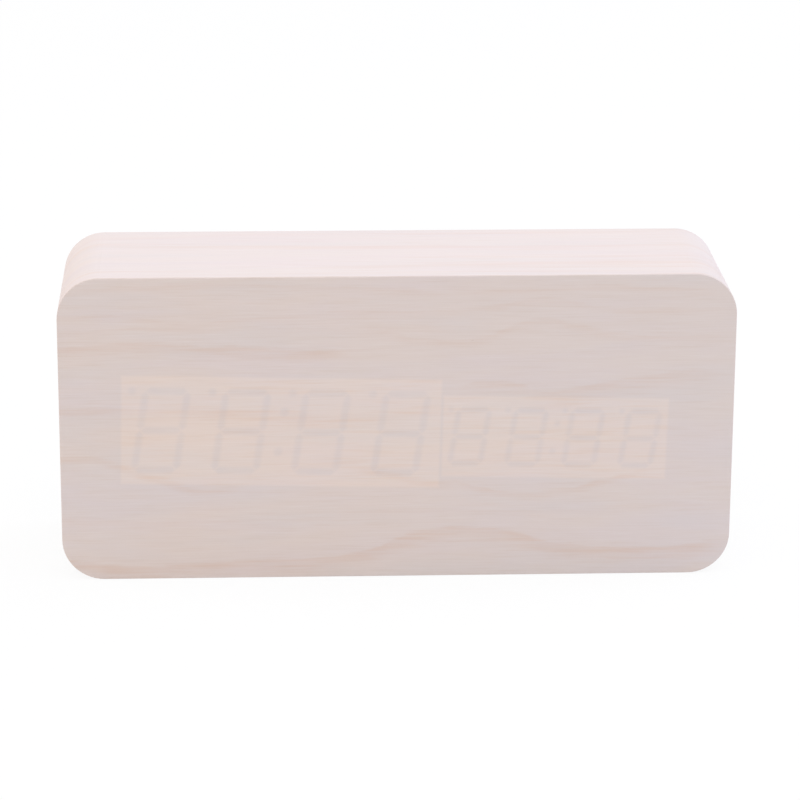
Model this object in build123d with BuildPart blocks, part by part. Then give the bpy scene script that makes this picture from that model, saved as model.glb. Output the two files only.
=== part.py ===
"""A wooden desk clock whose two LED displays shine through a thin veneer front.

Frame: +Z is up, the display faces -Y, and the origin is the centre of the footprint on the table.
Lengths are in millimetres and angles in degrees.
"""

import math
import os

from build123d import *

# Case: a fibreboard core, routed out from the rear, under a thin wood veneer
case_depth = 40.0
corner_radius = 9.4
veneer = 0.5
veneer_edge_radius = 0.2
seam_gap = 0.15  # butt joint of the wrapped veneer, under the base
seam_offset = 45.0
rim = 3.5  # core wall around the rear rebate
ledge = 5.5  # step in the rebate that carries the rear panel
cavity_radius = 6.0

# Displays: two standard four-digit LED modules side by side on one board
module_depth = 8.0
module_gap = 0.4
module_edge = 0.3
window_gap = 0.3
display_tilt = 1.3  # the board sits a little clockwise in the case
display_shift = -0.6
display_drop = 1.2
digit_slant = 7.7
digit_count = 4
well_depth = 5.0
fill_gap = 0.02
stroke_gap = 0.3

time_width = 71.0
time_height = 25.3
time_digit_space = 8.5  # between the strokes of neighbouring digits
time_digit_tall = 18.3
time_stroke = 1.6
time_dot_radius = 0.85
time_dot_space = 1.83
time_dot_up = 9.05
time_colon_radius = 0.95
time_colon_rise = 4.65
time_pin_span = 20.3

date_width = 50.3
date_height = 19.0
date_drop = 0.5
date_pitch_gain = 0.125
date_digit_space = 5.95
date_digit_tall = 12.6
date_stroke = 1.3
date_dot_radius = 0.55
date_dot_space = 0.93
date_dot_up = 6.3
date_colon_radius = 0.65
date_colon_rise = 3.25
date_pin_span = 15.24

pin_column_count = 8
pin_pitch = 2.54
pin_side = 0.5
pin_tail = 1.6
pin_hole_radius = 0.5

# Display board
board_thickness = 1.6
board_end_margin = 1.65
board_lip = 8.35
board_radius = 3.0
board_side_gap = 3.0
board_screw_inset = 4.0
board_hole_gap = 0.2

# Battery bay: four AAA cells side by side, alternating, in a tray moulded with the rear panel
cell_count = 4
cell_radius = 5.25
cell_length = 44.5
cell_nub_radius = 1.9
cell_nub_length = 1.1
cell_edge_radius = 0.5
cell_gap = 0.5
cell_side_gap = 0.4
cell_door_gap = 0.3
cell_floor_gap = 0.1
cell_rib_width = 1.0
cell_rib_height = 2.4
contact_thickness = 0.4
contact_width = 8.0
contact_top_rise = 1.8  # above the cells' axes
contact_dimple_radius = 1.6
contact_dimple_height = 0.6
spring_length = 4.5
spring_wire = 0.5
spring_base_radius = 3.6
spring_tip_radius = 2.4
spring_half_turn_count = 7
spring_end_gap = 0.02
tray_wall = 2.0
tray_floor = 1.4
tray_radius = 3.0
tray_gap = 1.35
tray_end_gap = 2.1

# Rear panel
panel_recess = 1.5
panel_thickness = 2.0
panel_gap = 0.3
panel_edge = 0.4
panel_screw_inset = 4.7
panel_screw_seat = 1.2  # depth of the counterbore for a screw head
scoop_radius = 10.0
scoop_depth = 1.1
scoop_length = 12.0

# Battery door
door_thickness = 1.6
door_ledge = 0.9
door_gap = 0.25
door_corner_radius = 1.0
lug_width = 4.0
lug_thickness = 1.3
lug_gap = 0.2
lug_toe = 1.5  # reach behind the panel's lip
lug_root = 1.6
lug_root_inset = 0.3
lug_sweep_gap = 0.5
grip_rib_count = 5
grip_rib_length = 12.0
grip_rib_width = 0.8
grip_rib_height = 0.4
grip_rib_pitch = 2.0
grip_rib_inset = 4.0

# Latch tongue of the door, bent to a U
latch_width = 11.0
latch_leg = 1.0
latch_space = 2.0
latch_stand_off = 0.3
latch_drop = 5.6
latch_barb = 0.8
latch_barb_height = 1.4
latch_barb_gap = 0.2
pocket_gap = 0.6
pocket_wall = 1.2

# Screws
screw_head_radius = 2.6
screw_head_height = 1.5
screw_head_round = 0.7
screw_shank_radius = 1.2
screw_tip_radius = 0.4
screw_tip_length = 1.6
screw_pilot_gap = 0.05
screw_cross_length = 2.8
screw_cross_width = 0.6
screw_cross_depth = 0.9
panel_screw_length = 9.0
board_screw_length = 6.6
control_screw_length = 6.0

# Control board, on posts behind the rear panel
control_width = 63.0
control_height = 42.0
control_gap = 1.1
control_end_gap = 3.5
control_radius = 2.0
post_height = 7.5
post_radius = 2.6
post_inset = 4.2
key_pitch = 14.0
key_shift = -2.5
key_rise = 11.0
switch_side = 6.0
switch_height = 3.4
switch_floor = 1.0
switch_roof = 0.6
switch_gap = 0.1
switch_leg_length = 1.2
switch_leg_width = 0.8
switch_leg_thickness = 0.25
switch_leg_pitch = 4.5
plunger_radius = 1.75
plunger_flange_radius = 2.2
plunger_flange_height = 0.8
plunger_top = 5.0
button_radius = 3.5
button_hole_gap = 0.35
button_proud = 1.0
button_round = 0.5
button_flange_radius = 4.6
button_flange_height = 1.0
button_stem_radius = 1.7
button_stop_gap = 0.1
symbol_radius = 1.7
symbol_height = 0.25

jack_across = 22.5
jack_rise = -8.0
jack_side = 9.0
jack_base_height = 5.6
jack_nose_radius = 3.8
jack_nose_gap = 0.3
jack_nose_sink = 0.2
jack_bore_radius = 1.9
jack_bore_depth = 7.5
jack_pin_radius = 0.65
jack_pin_tip = 0.8  # how far the pin's end lies inside the mouth

buzzer_across = -15.0
buzzer_rise = -9.0
buzzer_radius = 6.0
buzzer_height = 6.0
buzzer_hole_radius = 1.2
buzzer_hole_depth = 2.0
buzzer_edge = 0.5
sound_hole_radius = 0.7
sound_hole_count = 6
sound_ring_radius = 2.8
sensor_lead_radius = 0.3
sensor_lead_pitch = 2.54
microphone_across = 2.0
microphone_rise = -11.0
microphone_radius = 3.0
microphone_height = 2.7
microphone_rim = 0.7
microphone_felt_depth = 0.3
microphone_gap = 0.8
microphone_hole_radius = 0.9
thermistor_across = 21.5
thermistor_rise = 6.5
thermistor_radius = 1.5
thermistor_gap = 1.5
vent_length = 8.0
vent_width = 1.2
vent_pitch = 2.6
vent_count = 4

capacitor_across = -21.0
capacitor_rise = -11.0
capacitor_radius = 3.15
capacitor_height = 7.0
capacitor_groove_radius = 2.85
capacitor_groove_width = 0.6
capacitor_groove_rise = 1.0
capacitor_edge_radius = 0.5
crystal_across = 4.0
crystal_rise = -7.0
crystal_radius = 1.05
crystal_length = 6.2
crystal_gap = 0.05
crystal_lead_radius = 0.15
crystal_lead_length = 1.6
crystal_lead_pitch = 0.7
coin_across = 17.0
coin_rise = 6.0
coin_radius = 10.0
coin_height = 3.2
coin_step = 0.7
coin_step_depth = 0.6
coin_gap = 0.25
coin_cup_wall = 1.3
coin_cup_floor = 0.8
coin_cup_height = 3.4
coin_clip_width = 5.0
coin_clip_thickness = 0.4

# Chips with two rows of bent leads
controller_across = -10.0
controller_rise = 6.0
controller_length = 17.9
controller_width = 7.5
controller_height = 2.3
controller_lead_count = 14
driver_length = 9.9
driver_width = 3.9
driver_height = 1.5
driver_lead_count = 8
driver_along = -20.0
chip_lead_pitch = 1.27
chip_lead_width = 0.42
chip_lead_thickness = 0.25
chip_lead_out = 0.5
chip_lead_foot = 0.8
chip_stand_off = 0.1
chip_dimple_radius = 0.5
chip_dimple_depth = 0.15
chip_dimple_inset = 1.2

# Flat cable and battery leads
cable_wire_count = 8
cable_pitch = 1.0
cable_wire_radius = 0.55
cable_inset = 6.0
cable_along = -7.4
cable_run = 5.2
lead_radius = 0.65
lead_hole_gap = 0.2
lead_stub = 3.4
lead_drop = 4.2
lead_inset = 3.6
lead_drift = 4.0
bend_share = 0.45  # of a run that its bend may take

overrun = 1.0  # how far a cut runs past the material

# Sizes that follow
modules_width = time_width + module_gap + date_width
time_pitch = time_width / digit_count
time_digit_across = time_pitch - time_digit_space
date_pitch = date_width / digit_count + date_pitch_gain
date_digit_across = date_pitch - date_digit_space
board_width = modules_width + 2 * board_end_margin
board_height = time_height + 2 * board_lip
bay_length = cell_length + 2 * contact_thickness + contact_dimple_height + spring_length
tray_length = bay_length + 2 * tray_wall
latch_length = latch_stand_off + 2 * latch_leg + latch_space
pocket_length = latch_length + latch_barb + pocket_gap + pocket_wall
rear_row_width = tray_end_gap + tray_length + pocket_length + control_gap + control_width + control_end_gap
cavity_width = max(board_width + 2 * board_side_gap, rear_row_width)
cell_pitch = 2 * cell_radius + cell_gap
bay_height = cell_count * cell_pitch - cell_gap + 2 * cell_side_gap
cavity_height = bay_height + 2 * tray_wall + 2 * tray_gap
rebate_width = cavity_width + 2 * ledge
rebate_height = cavity_height + 2 * ledge
core_width = rebate_width + 2 * rim
core_height = rebate_height + 2 * rim
case_width = core_width + 2 * veneer
case_height = core_height + 2 * veneer
core_radius = corner_radius - veneer
rebate_radius = core_radius - rim
panel_width = rebate_width - 2 * panel_gap
panel_height = rebate_height - 2 * panel_gap
mid_z = case_height / 2

# Depths, from the front face at the lowest y to the rear rim
front_y = -case_depth / 2
rear_y = case_depth / 2
skin_y = front_y + veneer
seat_y = skin_y + module_depth
board_rear_y = seat_y + board_thickness
panel_out_y = rear_y - panel_recess
panel_in_y = panel_out_y - panel_thickness
door_in_y = panel_out_y - door_thickness
cell_y = door_in_y - cell_door_gap - cell_radius
bay_floor_y = cell_y - cell_radius - cell_floor_gap
tray_rear_y = bay_floor_y - tray_floor
control_out_y = panel_in_y - post_height
control_in_y = control_out_y - board_thickness

# Places across the rear
bay_left = -cavity_width / 2 + tray_end_gap + tray_wall
bay_right = bay_left + bay_length
bay_x = (bay_left + bay_right) / 2
door_left = bay_left - door_ledge
door_right = bay_right + door_ledge
door_height = bay_height + 2 * door_ledge
hinge_x = door_left + door_thickness / 2
hinge_y = panel_out_y - door_thickness / 2
tray_right = bay_right + tray_wall
latch_near = tray_right + latch_stand_off
latch_far = tray_right + latch_length
pocket_right = latch_far + latch_barb + pocket_gap
latch_bend_y = door_in_y - latch_drop
latch_bend_radius = latch_leg + latch_space / 2
pocket_floor_y = latch_bend_y - latch_bend_radius - pocket_gap
control_left = tray_right + pocket_length + control_gap
control_x = control_left + control_width / 2
control_z = mid_z

tilt = math.radians(display_tilt)
slope = math.tan(math.radians(digit_slant))
upwards = (Align.CENTER, Align.CENTER, Align.MIN)


def corners(x, z, width, height, inset):
    """The four places inside a rectangle's corners."""
    across = width / 2 - inset
    up = height / 2 - inset
    return [(x + side * across, z + end * up) for side in (-1, 1) for end in (-1, 1)]


panel_screw_places = corners(0, mid_z, rebate_width, rebate_height, panel_screw_inset)
board_screw_places = corners(0, 0, board_width, board_height, board_screw_inset)
post_places = corners(control_x, control_z, control_width, control_height, post_inset)
key_z = control_z + key_rise
key_places = {
    "down": control_x + key_shift - key_pitch,
    "up": control_x + key_shift,
    "set": control_x + key_shift + key_pitch,
}
cell_places = [mid_z + ((cell_count - 1) / 2 - number) * cell_pitch for number in range(cell_count)]
lug_places = [mid_z + side * cell_pitch for side in (-1, 1)]


def to_front(y, x=0, z=0):
    """A plane that faces the front, with its own x along X and its own y along Z."""
    return Plane(origin=(x, y, z), x_dir=(1, 0, 0), z_dir=(0, -1, 0))


def to_rear(y, x=0, z=0):
    """A plane that faces the rear, with its own x against X and its own y along Z."""
    return Plane(origin=(x, y, z), x_dir=(-1, 0, 0), z_dir=(0, 1, 0))


def on_display(y, along=0, up=0):
    """A plane that faces the front and is turned as the display board is, measured from its centre."""
    x_dir = (math.cos(tilt), 0, -math.sin(tilt))
    centre = Plane(origin=(display_shift, y, mid_z - display_drop), x_dir=x_dir, z_dir=(0, -1, 0))
    return Plane(origin=centre.from_local_coords((along, up, 0)), x_dir=x_dir, z_dir=(0, -1, 0))


def behind_display(y, along=0, up=0):
    """The same place on the display board, facing the rear."""
    front = on_display(y, along, up)
    return Plane(origin=front.origin, x_dir=-front.x_dir, z_dir=(0, 1, 0))


def write(piece, name):
    piece.part.label = name
    export_step(piece.part, f"parts/{name}.step")


def screw(length):
    """A pan-head screw along +Z, the underside of its head at the origin."""
    with BuildPart() as one:
        with Locations((0, 0, -screw_head_height)):
            Cylinder(screw_head_radius, screw_head_height, align=upwards)
        fillet(one.faces().sort_by(Axis.Z)[0].edges(), screw_head_round)
        Cylinder(screw_shank_radius, length - screw_tip_length, align=upwards)
        with Locations((0, 0, length - screw_tip_length)):
            Cone(screw_shank_radius, screw_tip_radius, screw_tip_length, align=upwards)
        with Locations((0, 0, -screw_head_height)):
            Box(screw_cross_length, screw_cross_width, 2 * screw_cross_depth, mode=Mode.SUBTRACT)
            Box(screw_cross_width, screw_cross_length, 2 * screw_cross_depth, mode=Mode.SUBTRACT)
    return one.part


def stroke_outline(x0, z0, x1, z1, width, inset):
    """The six corners of a straight light segment with pointed ends, slanted as the digits are."""
    half = width / 2 - inset
    pull = stroke_gap / 2 + inset
    if z0 == z1:
        corners = [
            (x0 + pull, z0),
            (x0 + pull + half, z0 + half),
            (x1 - pull - half, z0 + half),
            (x1 - pull, z0),
            (x1 - pull - half, z0 - half),
            (x0 + pull + half, z0 - half),
        ]
    else:
        corners = [
            (x0, z0 + pull),
            (x0 + half, z0 + pull + half),
            (x0 + half, z1 - pull - half),
            (x0, z1 - pull),
            (x0 - half, z1 - pull - half),
            (x0 - half, z0 + pull + half),
        ]
    return corners


def digit_strokes(across, tall, width, inset):
    """The outlines of a digit's seven segments around its centre, before it is slanted."""
    right = across / 2
    top = tall / 2
    flat = [stroke_outline(-right, level, right, level, width, inset) for level in (-top, 0, top)]
    sides = [
        stroke_outline(side, low, side, low + top, width, inset)
        for side in (-right, right)
        for low in (-top, 0)
    ]
    return flat + sides


def display_module(name, along, up, width, height, pitch, across, tall, stroke, dot, colon, pin_span):
    """Builds one LED module: its housing, the filled segments and the pins."""
    dot_radius, dot_out, dot_up = dot
    colon_radius, colon_rise = colon
    face = on_display(skin_y, along, up)
    digits = [(number - (digit_count - 1) / 2) * pitch for number in range(digit_count)]
    dots = [(centre - dot_out, dot_up) for centre in digits]
    colons = [(side * colon_rise * slope, side * colon_rise) for side in (-1, 1)]

    with BuildPart() as housing:
        with BuildSketch(face):
            Rectangle(width, height)
        extrude(amount=-module_depth)
        chamfer(housing.edges().filter_by(Axis.Y), module_edge)
        with BuildSketch(face):
            for centre in digits:
                for outline in digit_strokes(across, tall, stroke, 0):
                    Polygon(*[(centre + x + z * slope, z) for x, z in outline], align=None)
            with Locations(*dots):
                Circle(dot_radius)
            with Locations(*colons):
                Circle(colon_radius)
        extrude(amount=-well_depth, mode=Mode.SUBTRACT)
    write(housing, f"{name}_display_housing")

    with BuildPart() as segments:
        with BuildSketch(face):
            for centre in digits:
                for outline in digit_strokes(across, tall, stroke, fill_gap):
                    Polygon(*[(centre + x + z * slope, z) for x, z in outline], align=None)
            with Locations(*dots):
                Circle(dot_radius - fill_gap)
            with Locations(*colons):
                Circle(colon_radius - fill_gap)
        extrude(amount=-well_depth)
    write(segments, f"{name}_display_segments")

    with BuildPart() as pins:
        with BuildSketch(on_display(seat_y, along, up)):
            with GridLocations(pin_pitch, pin_span, pin_column_count, 2):
                Rectangle(pin_side, pin_side)
        extrude(amount=-(board_thickness + pin_tail))
    write(pins, f"{name}_display_pins")


def chip(plane, length, width, height, leads):
    """A chip body with two rows of bent leads, standing on the plane with its rows along the plane's x."""
    body_top = chip_stand_off + height
    lead_rise = chip_stand_off + height / 2
    shin = lead_rise + chip_lead_thickness / 2
    with BuildPart(plane) as one:
        with Locations((0, 0, chip_stand_off)):
            Box(length, width, height, align=upwards)
        with Locations((chip_dimple_inset - length / 2, chip_dimple_inset - width / 2, body_top)):
            Cylinder(chip_dimple_radius, 2 * chip_dimple_depth, mode=Mode.SUBTRACT)
        for side in (-1, 1):
            edge = side * width / 2
            knee = edge + side * chip_lead_out / 2
            foot = edge + side * (chip_lead_out + chip_lead_foot / 2 - chip_lead_thickness)
            with Locations((0, knee, lead_rise)):
                with GridLocations(chip_lead_pitch, 0, leads, 1):
                    Box(chip_lead_width, chip_lead_out, chip_lead_thickness)
            with Locations((0, edge + side * (chip_lead_out - chip_lead_thickness / 2), 0)):
                with GridLocations(chip_lead_pitch, 0, leads, 1):
                    Box(chip_lead_width, chip_lead_thickness, shin, align=upwards)
            with Locations((0, foot, 0)):
                with GridLocations(chip_lead_pitch, 0, leads, 1):
                    Box(chip_lead_width, chip_lead_foot, chip_lead_thickness, align=upwards)
    return one


def bend_radii(points):
    """The radius at each corner of a route, as large as the shorter of its two runs leaves room for."""
    radii = []
    for before, corner, after in zip(points, points[1:], points[2:]):
        run_in = Vector(corner) - Vector(before)
        run_out = Vector(after) - Vector(corner)
        half_turn = math.radians(run_in.get_angle(run_out)) / 2
        radii.append(bend_share * min(run_in.length, run_out.length) / math.tan(half_turn))
    return radii


def spring_route():
    """Points and tangents at every half turn of a contact spring that stands on the origin along +Z."""
    rise = spring_length - spring_wire - 2 * spring_end_gap
    sweep_angle = spring_half_turn_count * math.pi
    stops = []
    for number in range(spring_half_turn_count + 1):
        passed_share = number / spring_half_turn_count
        angle = number * math.pi
        radius = spring_base_radius + (spring_tip_radius - spring_base_radius) * passed_share
        shrink = (spring_tip_radius - spring_base_radius) / sweep_angle
        point = Vector(
            radius * math.cos(angle),
            radius * math.sin(angle),
            spring_end_gap + spring_wire / 2 + rise * passed_share,
        )
        tangent = Vector(
            shrink * math.cos(angle) - radius * math.sin(angle),
            shrink * math.sin(angle) + radius * math.cos(angle),
            rise / sweep_angle,
        )
        stops.append((point, tangent.normalized()))
    return stops


def biarc(start, start_dir, end, end_dir):
    """The point where two tangent arcs meet, and their common direction there."""
    chord = end - start
    closing = 2 * (1 - start_dir.dot(end_dir))
    along = chord.dot(start_dir + end_dir)
    reach = (math.sqrt(along**2 + closing * chord.dot(chord)) - along) / closing
    first = start + start_dir * reach
    second = end - end_dir * reach
    return (first + second) / 2, (second - first).normalized()


os.makedirs("parts", exist_ok=True)

# Case
with BuildPart() as front_veneer:
    with BuildSketch(to_front(front_y, z=mid_z)):
        RectangleRounded(case_width, case_height, corner_radius)
    extrude(amount=-veneer)
    fillet(front_veneer.faces().sort_by(Axis.Y)[0].edges(), veneer_edge_radius)
write(front_veneer, "front_veneer")

with BuildPart() as wrap_veneer:
    with BuildSketch(to_front(skin_y, z=mid_z)):
        RectangleRounded(case_width, case_height, corner_radius)
        RectangleRounded(core_width, core_height, core_radius, mode=Mode.SUBTRACT)
    extrude(amount=-(case_depth - veneer))
    with BuildSketch(to_front(rear_y - veneer, z=mid_z)):
        RectangleRounded(case_width, case_height, corner_radius)
        RectangleRounded(rebate_width, rebate_height, rebate_radius, mode=Mode.SUBTRACT)
    extrude(amount=-veneer)
    fillet(wrap_veneer.faces().sort_by(Axis.Y)[-1].outer_wire().edges(), veneer_edge_radius)
    with Locations((seam_offset, 0, 0)):
        Box(seam_gap, case_depth + 2 * overrun, 2 * (rim + veneer + overrun), mode=Mode.SUBTRACT)
write(wrap_veneer, "wrap_veneer")

with BuildPart() as case_core:
    with BuildSketch(to_front(skin_y, z=mid_z)):
        RectangleRounded(core_width, core_height, core_radius)
    extrude(amount=-(case_depth - 2 * veneer))
    with BuildSketch(to_front(seat_y, z=mid_z)):
        RectangleRounded(cavity_width, cavity_height, cavity_radius)
    extrude(amount=-case_depth, mode=Mode.SUBTRACT)
    with BuildSketch(to_front(panel_in_y, z=mid_z)):
        RectangleRounded(rebate_width, rebate_height, rebate_radius)
    extrude(amount=-case_depth, mode=Mode.SUBTRACT)
    with BuildSketch(on_display(skin_y - overrun)):
        with Locations((time_width / 2 - modules_width / 2, 0)):
            Rectangle(time_width + 2 * window_gap, time_height + 2 * window_gap)
        with Locations((modules_width / 2 - date_width / 2, -date_drop)):
            Rectangle(date_width + 2 * window_gap, date_height + 2 * window_gap)
    extrude(amount=-(module_depth + 2 * overrun), mode=Mode.SUBTRACT)
    with BuildSketch(on_display(seat_y)):
        with Locations(*board_screw_places):
            Circle(screw_shank_radius + screw_pilot_gap)
    extrude(amount=board_screw_length - board_thickness + overrun, mode=Mode.SUBTRACT)
    with BuildSketch(to_front(panel_in_y)):
        with Locations(*panel_screw_places):
            Circle(screw_shank_radius + screw_pilot_gap)
    extrude(amount=panel_screw_length + overrun, mode=Mode.SUBTRACT)
write(case_core, "case_core")

# Displays
time_along = time_width / 2 - modules_width / 2
date_along = modules_width / 2 - date_width / 2
display_module(
    "time",
    time_along,
    0,
    time_width,
    time_height,
    time_pitch,
    time_digit_across,
    time_digit_tall,
    time_stroke,
    (time_dot_radius, time_digit_across / 2 + time_dot_space, time_dot_up),
    (time_colon_radius, time_colon_rise),
    time_pin_span,
)
display_module(
    "date",
    date_along,
    -date_drop,
    date_width,
    date_height,
    date_pitch,
    date_digit_across,
    date_digit_tall,
    date_stroke,
    (date_dot_radius, date_digit_across / 2 + date_dot_space, date_dot_up),
    (date_colon_radius, date_colon_rise),
    date_pin_span,
)

with BuildPart() as display_board:
    with BuildSketch(on_display(seat_y)):
        RectangleRounded(board_width, board_height, board_radius)
        with Locations(*board_screw_places):
            Circle(screw_shank_radius + board_hole_gap, mode=Mode.SUBTRACT)
        with Locations((time_along, 0)):
            with GridLocations(pin_pitch, time_pin_span, pin_column_count, 2):
                Circle(pin_hole_radius, mode=Mode.SUBTRACT)
        with Locations((date_along, -date_drop)):
            with GridLocations(pin_pitch, date_pin_span, pin_column_count, 2):
                Circle(pin_hole_radius, mode=Mode.SUBTRACT)
    extrude(amount=-board_thickness)
write(display_board, "display_board")

with BuildPart() as display_board_screws:
    with Locations(*[on_display(board_rear_y, along, up) for along, up in board_screw_places]):
        add(screw(board_screw_length))
write(display_board_screws, "display_board_screws")

led_driver_chip = chip(
    behind_display(board_rear_y, driver_along),
    driver_length,
    driver_width,
    driver_height,
    driver_lead_count,
)
write(led_driver_chip, "led_driver_chip")

# Rear panel with the battery tray, the latch pocket and the posts of the control board
with BuildPart() as rear_panel:
    with BuildSketch(to_front(panel_in_y, z=mid_z)):
        RectangleRounded(panel_width, panel_height, rebate_radius - panel_gap)
    extrude(amount=-panel_thickness)
    chamfer(rear_panel.faces().sort_by(Axis.Y)[-1].edges(), panel_edge)
    with BuildSketch(to_front(tray_rear_y, bay_x, mid_z)):
        RectangleRounded(tray_length, bay_height + 2 * tray_wall, tray_radius)
    extrude(amount=tray_rear_y - door_in_y)
    with BuildSketch(to_front(pocket_floor_y - pocket_wall, z=mid_z)):
        with Locations(((tray_right + pocket_right + pocket_wall) / 2, 0)):
            Rectangle(
                pocket_right + pocket_wall - tray_right, latch_width + 2 * pocket_gap + 2 * pocket_wall
            )
    extrude(amount=pocket_floor_y - pocket_wall - panel_in_y)
    with BuildSketch(to_front(control_out_y)):
        with Locations(*post_places):
            Circle(post_radius)
    extrude(amount=-post_height)

    # Opening that the door fills, the bay behind it and the ribs between the cells
    with BuildSketch(to_front(door_in_y, z=mid_z)):
        with Locations(((door_left + door_right) / 2, 0)):
            Rectangle(door_right - door_left + 2 * door_gap, door_height + 2 * door_gap)
        with Locations(((door_right + latch_far + door_gap) / 2, 0)):
            Rectangle(latch_far + door_gap - door_right, latch_width + 2 * door_gap)
    extrude(amount=-(door_thickness + overrun), mode=Mode.SUBTRACT)
    with BuildSketch(to_front(panel_in_y, z=mid_z)):
        with Locations(((tray_right + latch_far + door_gap) / 2, 0)):
            Rectangle(latch_far + door_gap - tray_right, latch_width + 2 * door_gap)
    extrude(amount=-panel_thickness, mode=Mode.SUBTRACT)
    with BuildSketch(to_front(bay_floor_y, bay_x, mid_z)):
        Rectangle(bay_length, bay_height)
    extrude(amount=-(door_in_y - bay_floor_y + overrun), mode=Mode.SUBTRACT)
    with BuildSketch(to_front(bay_floor_y, bay_x, mid_z)):
        with GridLocations(0, cell_pitch, 1, cell_count - 1):
            Rectangle(bay_length - 2 * contact_thickness - spring_length, cell_rib_width)
    extrude(amount=-cell_rib_height)
    with BuildSketch(to_front(pocket_floor_y, z=mid_z)):
        with Locations(((tray_right + pocket_right) / 2, 0)):
            Rectangle(pocket_right - tray_right, latch_width + 2 * pocket_gap)
    extrude(amount=pocket_floor_y - panel_in_y, mode=Mode.SUBTRACT)

    # Notches for the hinge lugs, as deep as the lugs swing
    lug_reach = math.hypot(
        hinge_x - (door_left - door_gap - lug_toe), hinge_y - (panel_in_y - lug_gap - lug_thickness)
    )
    notch_y = hinge_y - lug_reach - lug_sweep_gap
    with BuildSketch(to_front(notch_y)):
        with Locations(*[(bay_left - tray_wall / 2, z) for z in lug_places]):
            Rectangle(tray_wall + overrun, lug_width + 2 * lug_sweep_gap)
    extrude(amount=-(panel_in_y - notch_y), mode=Mode.SUBTRACT)
    with BuildSketch(to_front(panel_in_y)):
        with Locations(*[((door_left + bay_left) / 2, z) for z in lug_places]):
            Rectangle(bay_left - door_left + 2 * door_gap, lug_width + 2 * lug_sweep_gap)
    extrude(amount=-(door_in_y - panel_in_y), mode=Mode.SUBTRACT)

    # Holes for the screws, buttons, inlet, sound and air
    with BuildSketch(to_front(panel_in_y - overrun)):
        with Locations(*panel_screw_places):
            Circle(screw_shank_radius + board_hole_gap)
        with Locations(*[(x, key_z) for x in key_places.values()]):
            Circle(button_radius + button_hole_gap)
        with Locations((control_x + jack_across, control_z + jack_rise)):
            Circle(jack_nose_radius + jack_nose_gap)
        with Locations((control_x + buzzer_across, control_z + buzzer_rise)):
            Circle(sound_hole_radius)
            with PolarLocations(sound_ring_radius, sound_hole_count):
                Circle(sound_hole_radius)
        with Locations((control_x + microphone_across, control_z + microphone_rise)):
            Circle(microphone_hole_radius)
        with Locations((control_x + thermistor_across, control_z + thermistor_rise)):
            with GridLocations(0, vent_pitch, 1, vent_count):
                SlotOverall(vent_length, vent_width)
    extrude(amount=-(panel_thickness + 2 * overrun), mode=Mode.SUBTRACT)
    with BuildSketch(to_front(panel_out_y - panel_screw_seat)):
        with Locations(*panel_screw_places):
            Circle(screw_head_radius + board_hole_gap)
    extrude(amount=-(panel_screw_seat + overrun), mode=Mode.SUBTRACT)
    with BuildSketch(to_front(control_out_y)):
        with Locations(*post_places):
            Circle(screw_shank_radius + screw_pilot_gap)
    extrude(amount=-(control_screw_length + overrun - board_thickness), mode=Mode.SUBTRACT)
    for number, z in enumerate(cell_places):
        if number in (0, cell_count - 1):
            with BuildSketch(Plane(origin=(bay_right, cell_y, z), x_dir=(0, 1, 0), z_dir=(1, 0, 0))):
                Circle(lead_radius + lead_hole_gap)
            extrude(amount=tray_wall + overrun, mode=Mode.SUBTRACT)

    # Hollow beside the latch for a fingertip
    with Locations((latch_far + door_gap + math.sqrt(2 * scoop_radius * scoop_depth), panel_out_y, mid_z)):
        with Locations((0, scoop_radius - scoop_depth, 0)):
            Cylinder(scoop_radius, scoop_length, mode=Mode.SUBTRACT)
write(rear_panel, "rear_panel")

with BuildPart() as rear_panel_screws:
    with Locations(*[to_front(panel_out_y - panel_screw_seat, x, z) for x, z in panel_screw_places]):
        add(screw(panel_screw_length))
write(rear_panel_screws, "rear_panel_screws")

# Battery door, which turns about its rounded edge
with BuildPart() as battery_door:
    with BuildSketch(Plane.XY.offset(mid_z - door_height / 2)):
        with Locations(((hinge_x + door_right) / 2, hinge_y)):
            Rectangle(door_right - hinge_x, door_thickness)
        with Locations((hinge_x, hinge_y)):
            Circle(door_thickness / 2)
    extrude(amount=door_height)
    far_edges = battery_door.edges().filter_by(Axis.Y).group_by(Axis.X)[-1]
    fillet(far_edges, door_corner_radius)
    lug_out_y = panel_in_y - lug_gap
    lug_in_y = lug_out_y - lug_thickness
    toe_x = door_left - door_gap - lug_toe
    root_x = door_left + lug_root_inset
    for z in lug_places:
        with BuildSketch(Plane.XY.offset(z - lug_width / 2)):
            Polygon(
                (toe_x, lug_in_y),
                (root_x + lug_root, lug_in_y),
                (root_x + lug_root, door_in_y),
                (root_x, door_in_y),
                (root_x, lug_out_y),
                (toe_x, lug_out_y),
                align=None,
            )
        extrude(amount=lug_width)
    with BuildSketch(to_front(panel_out_y, door_right - grip_rib_inset, mid_z)):
        for number in range(grip_rib_count):
            with Locations((-number * grip_rib_pitch, 0)):
                SlotOverall(grip_rib_length, grip_rib_width, rotation=90)
    extrude(amount=-grip_rib_height)
write(battery_door, "battery_door")

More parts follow.
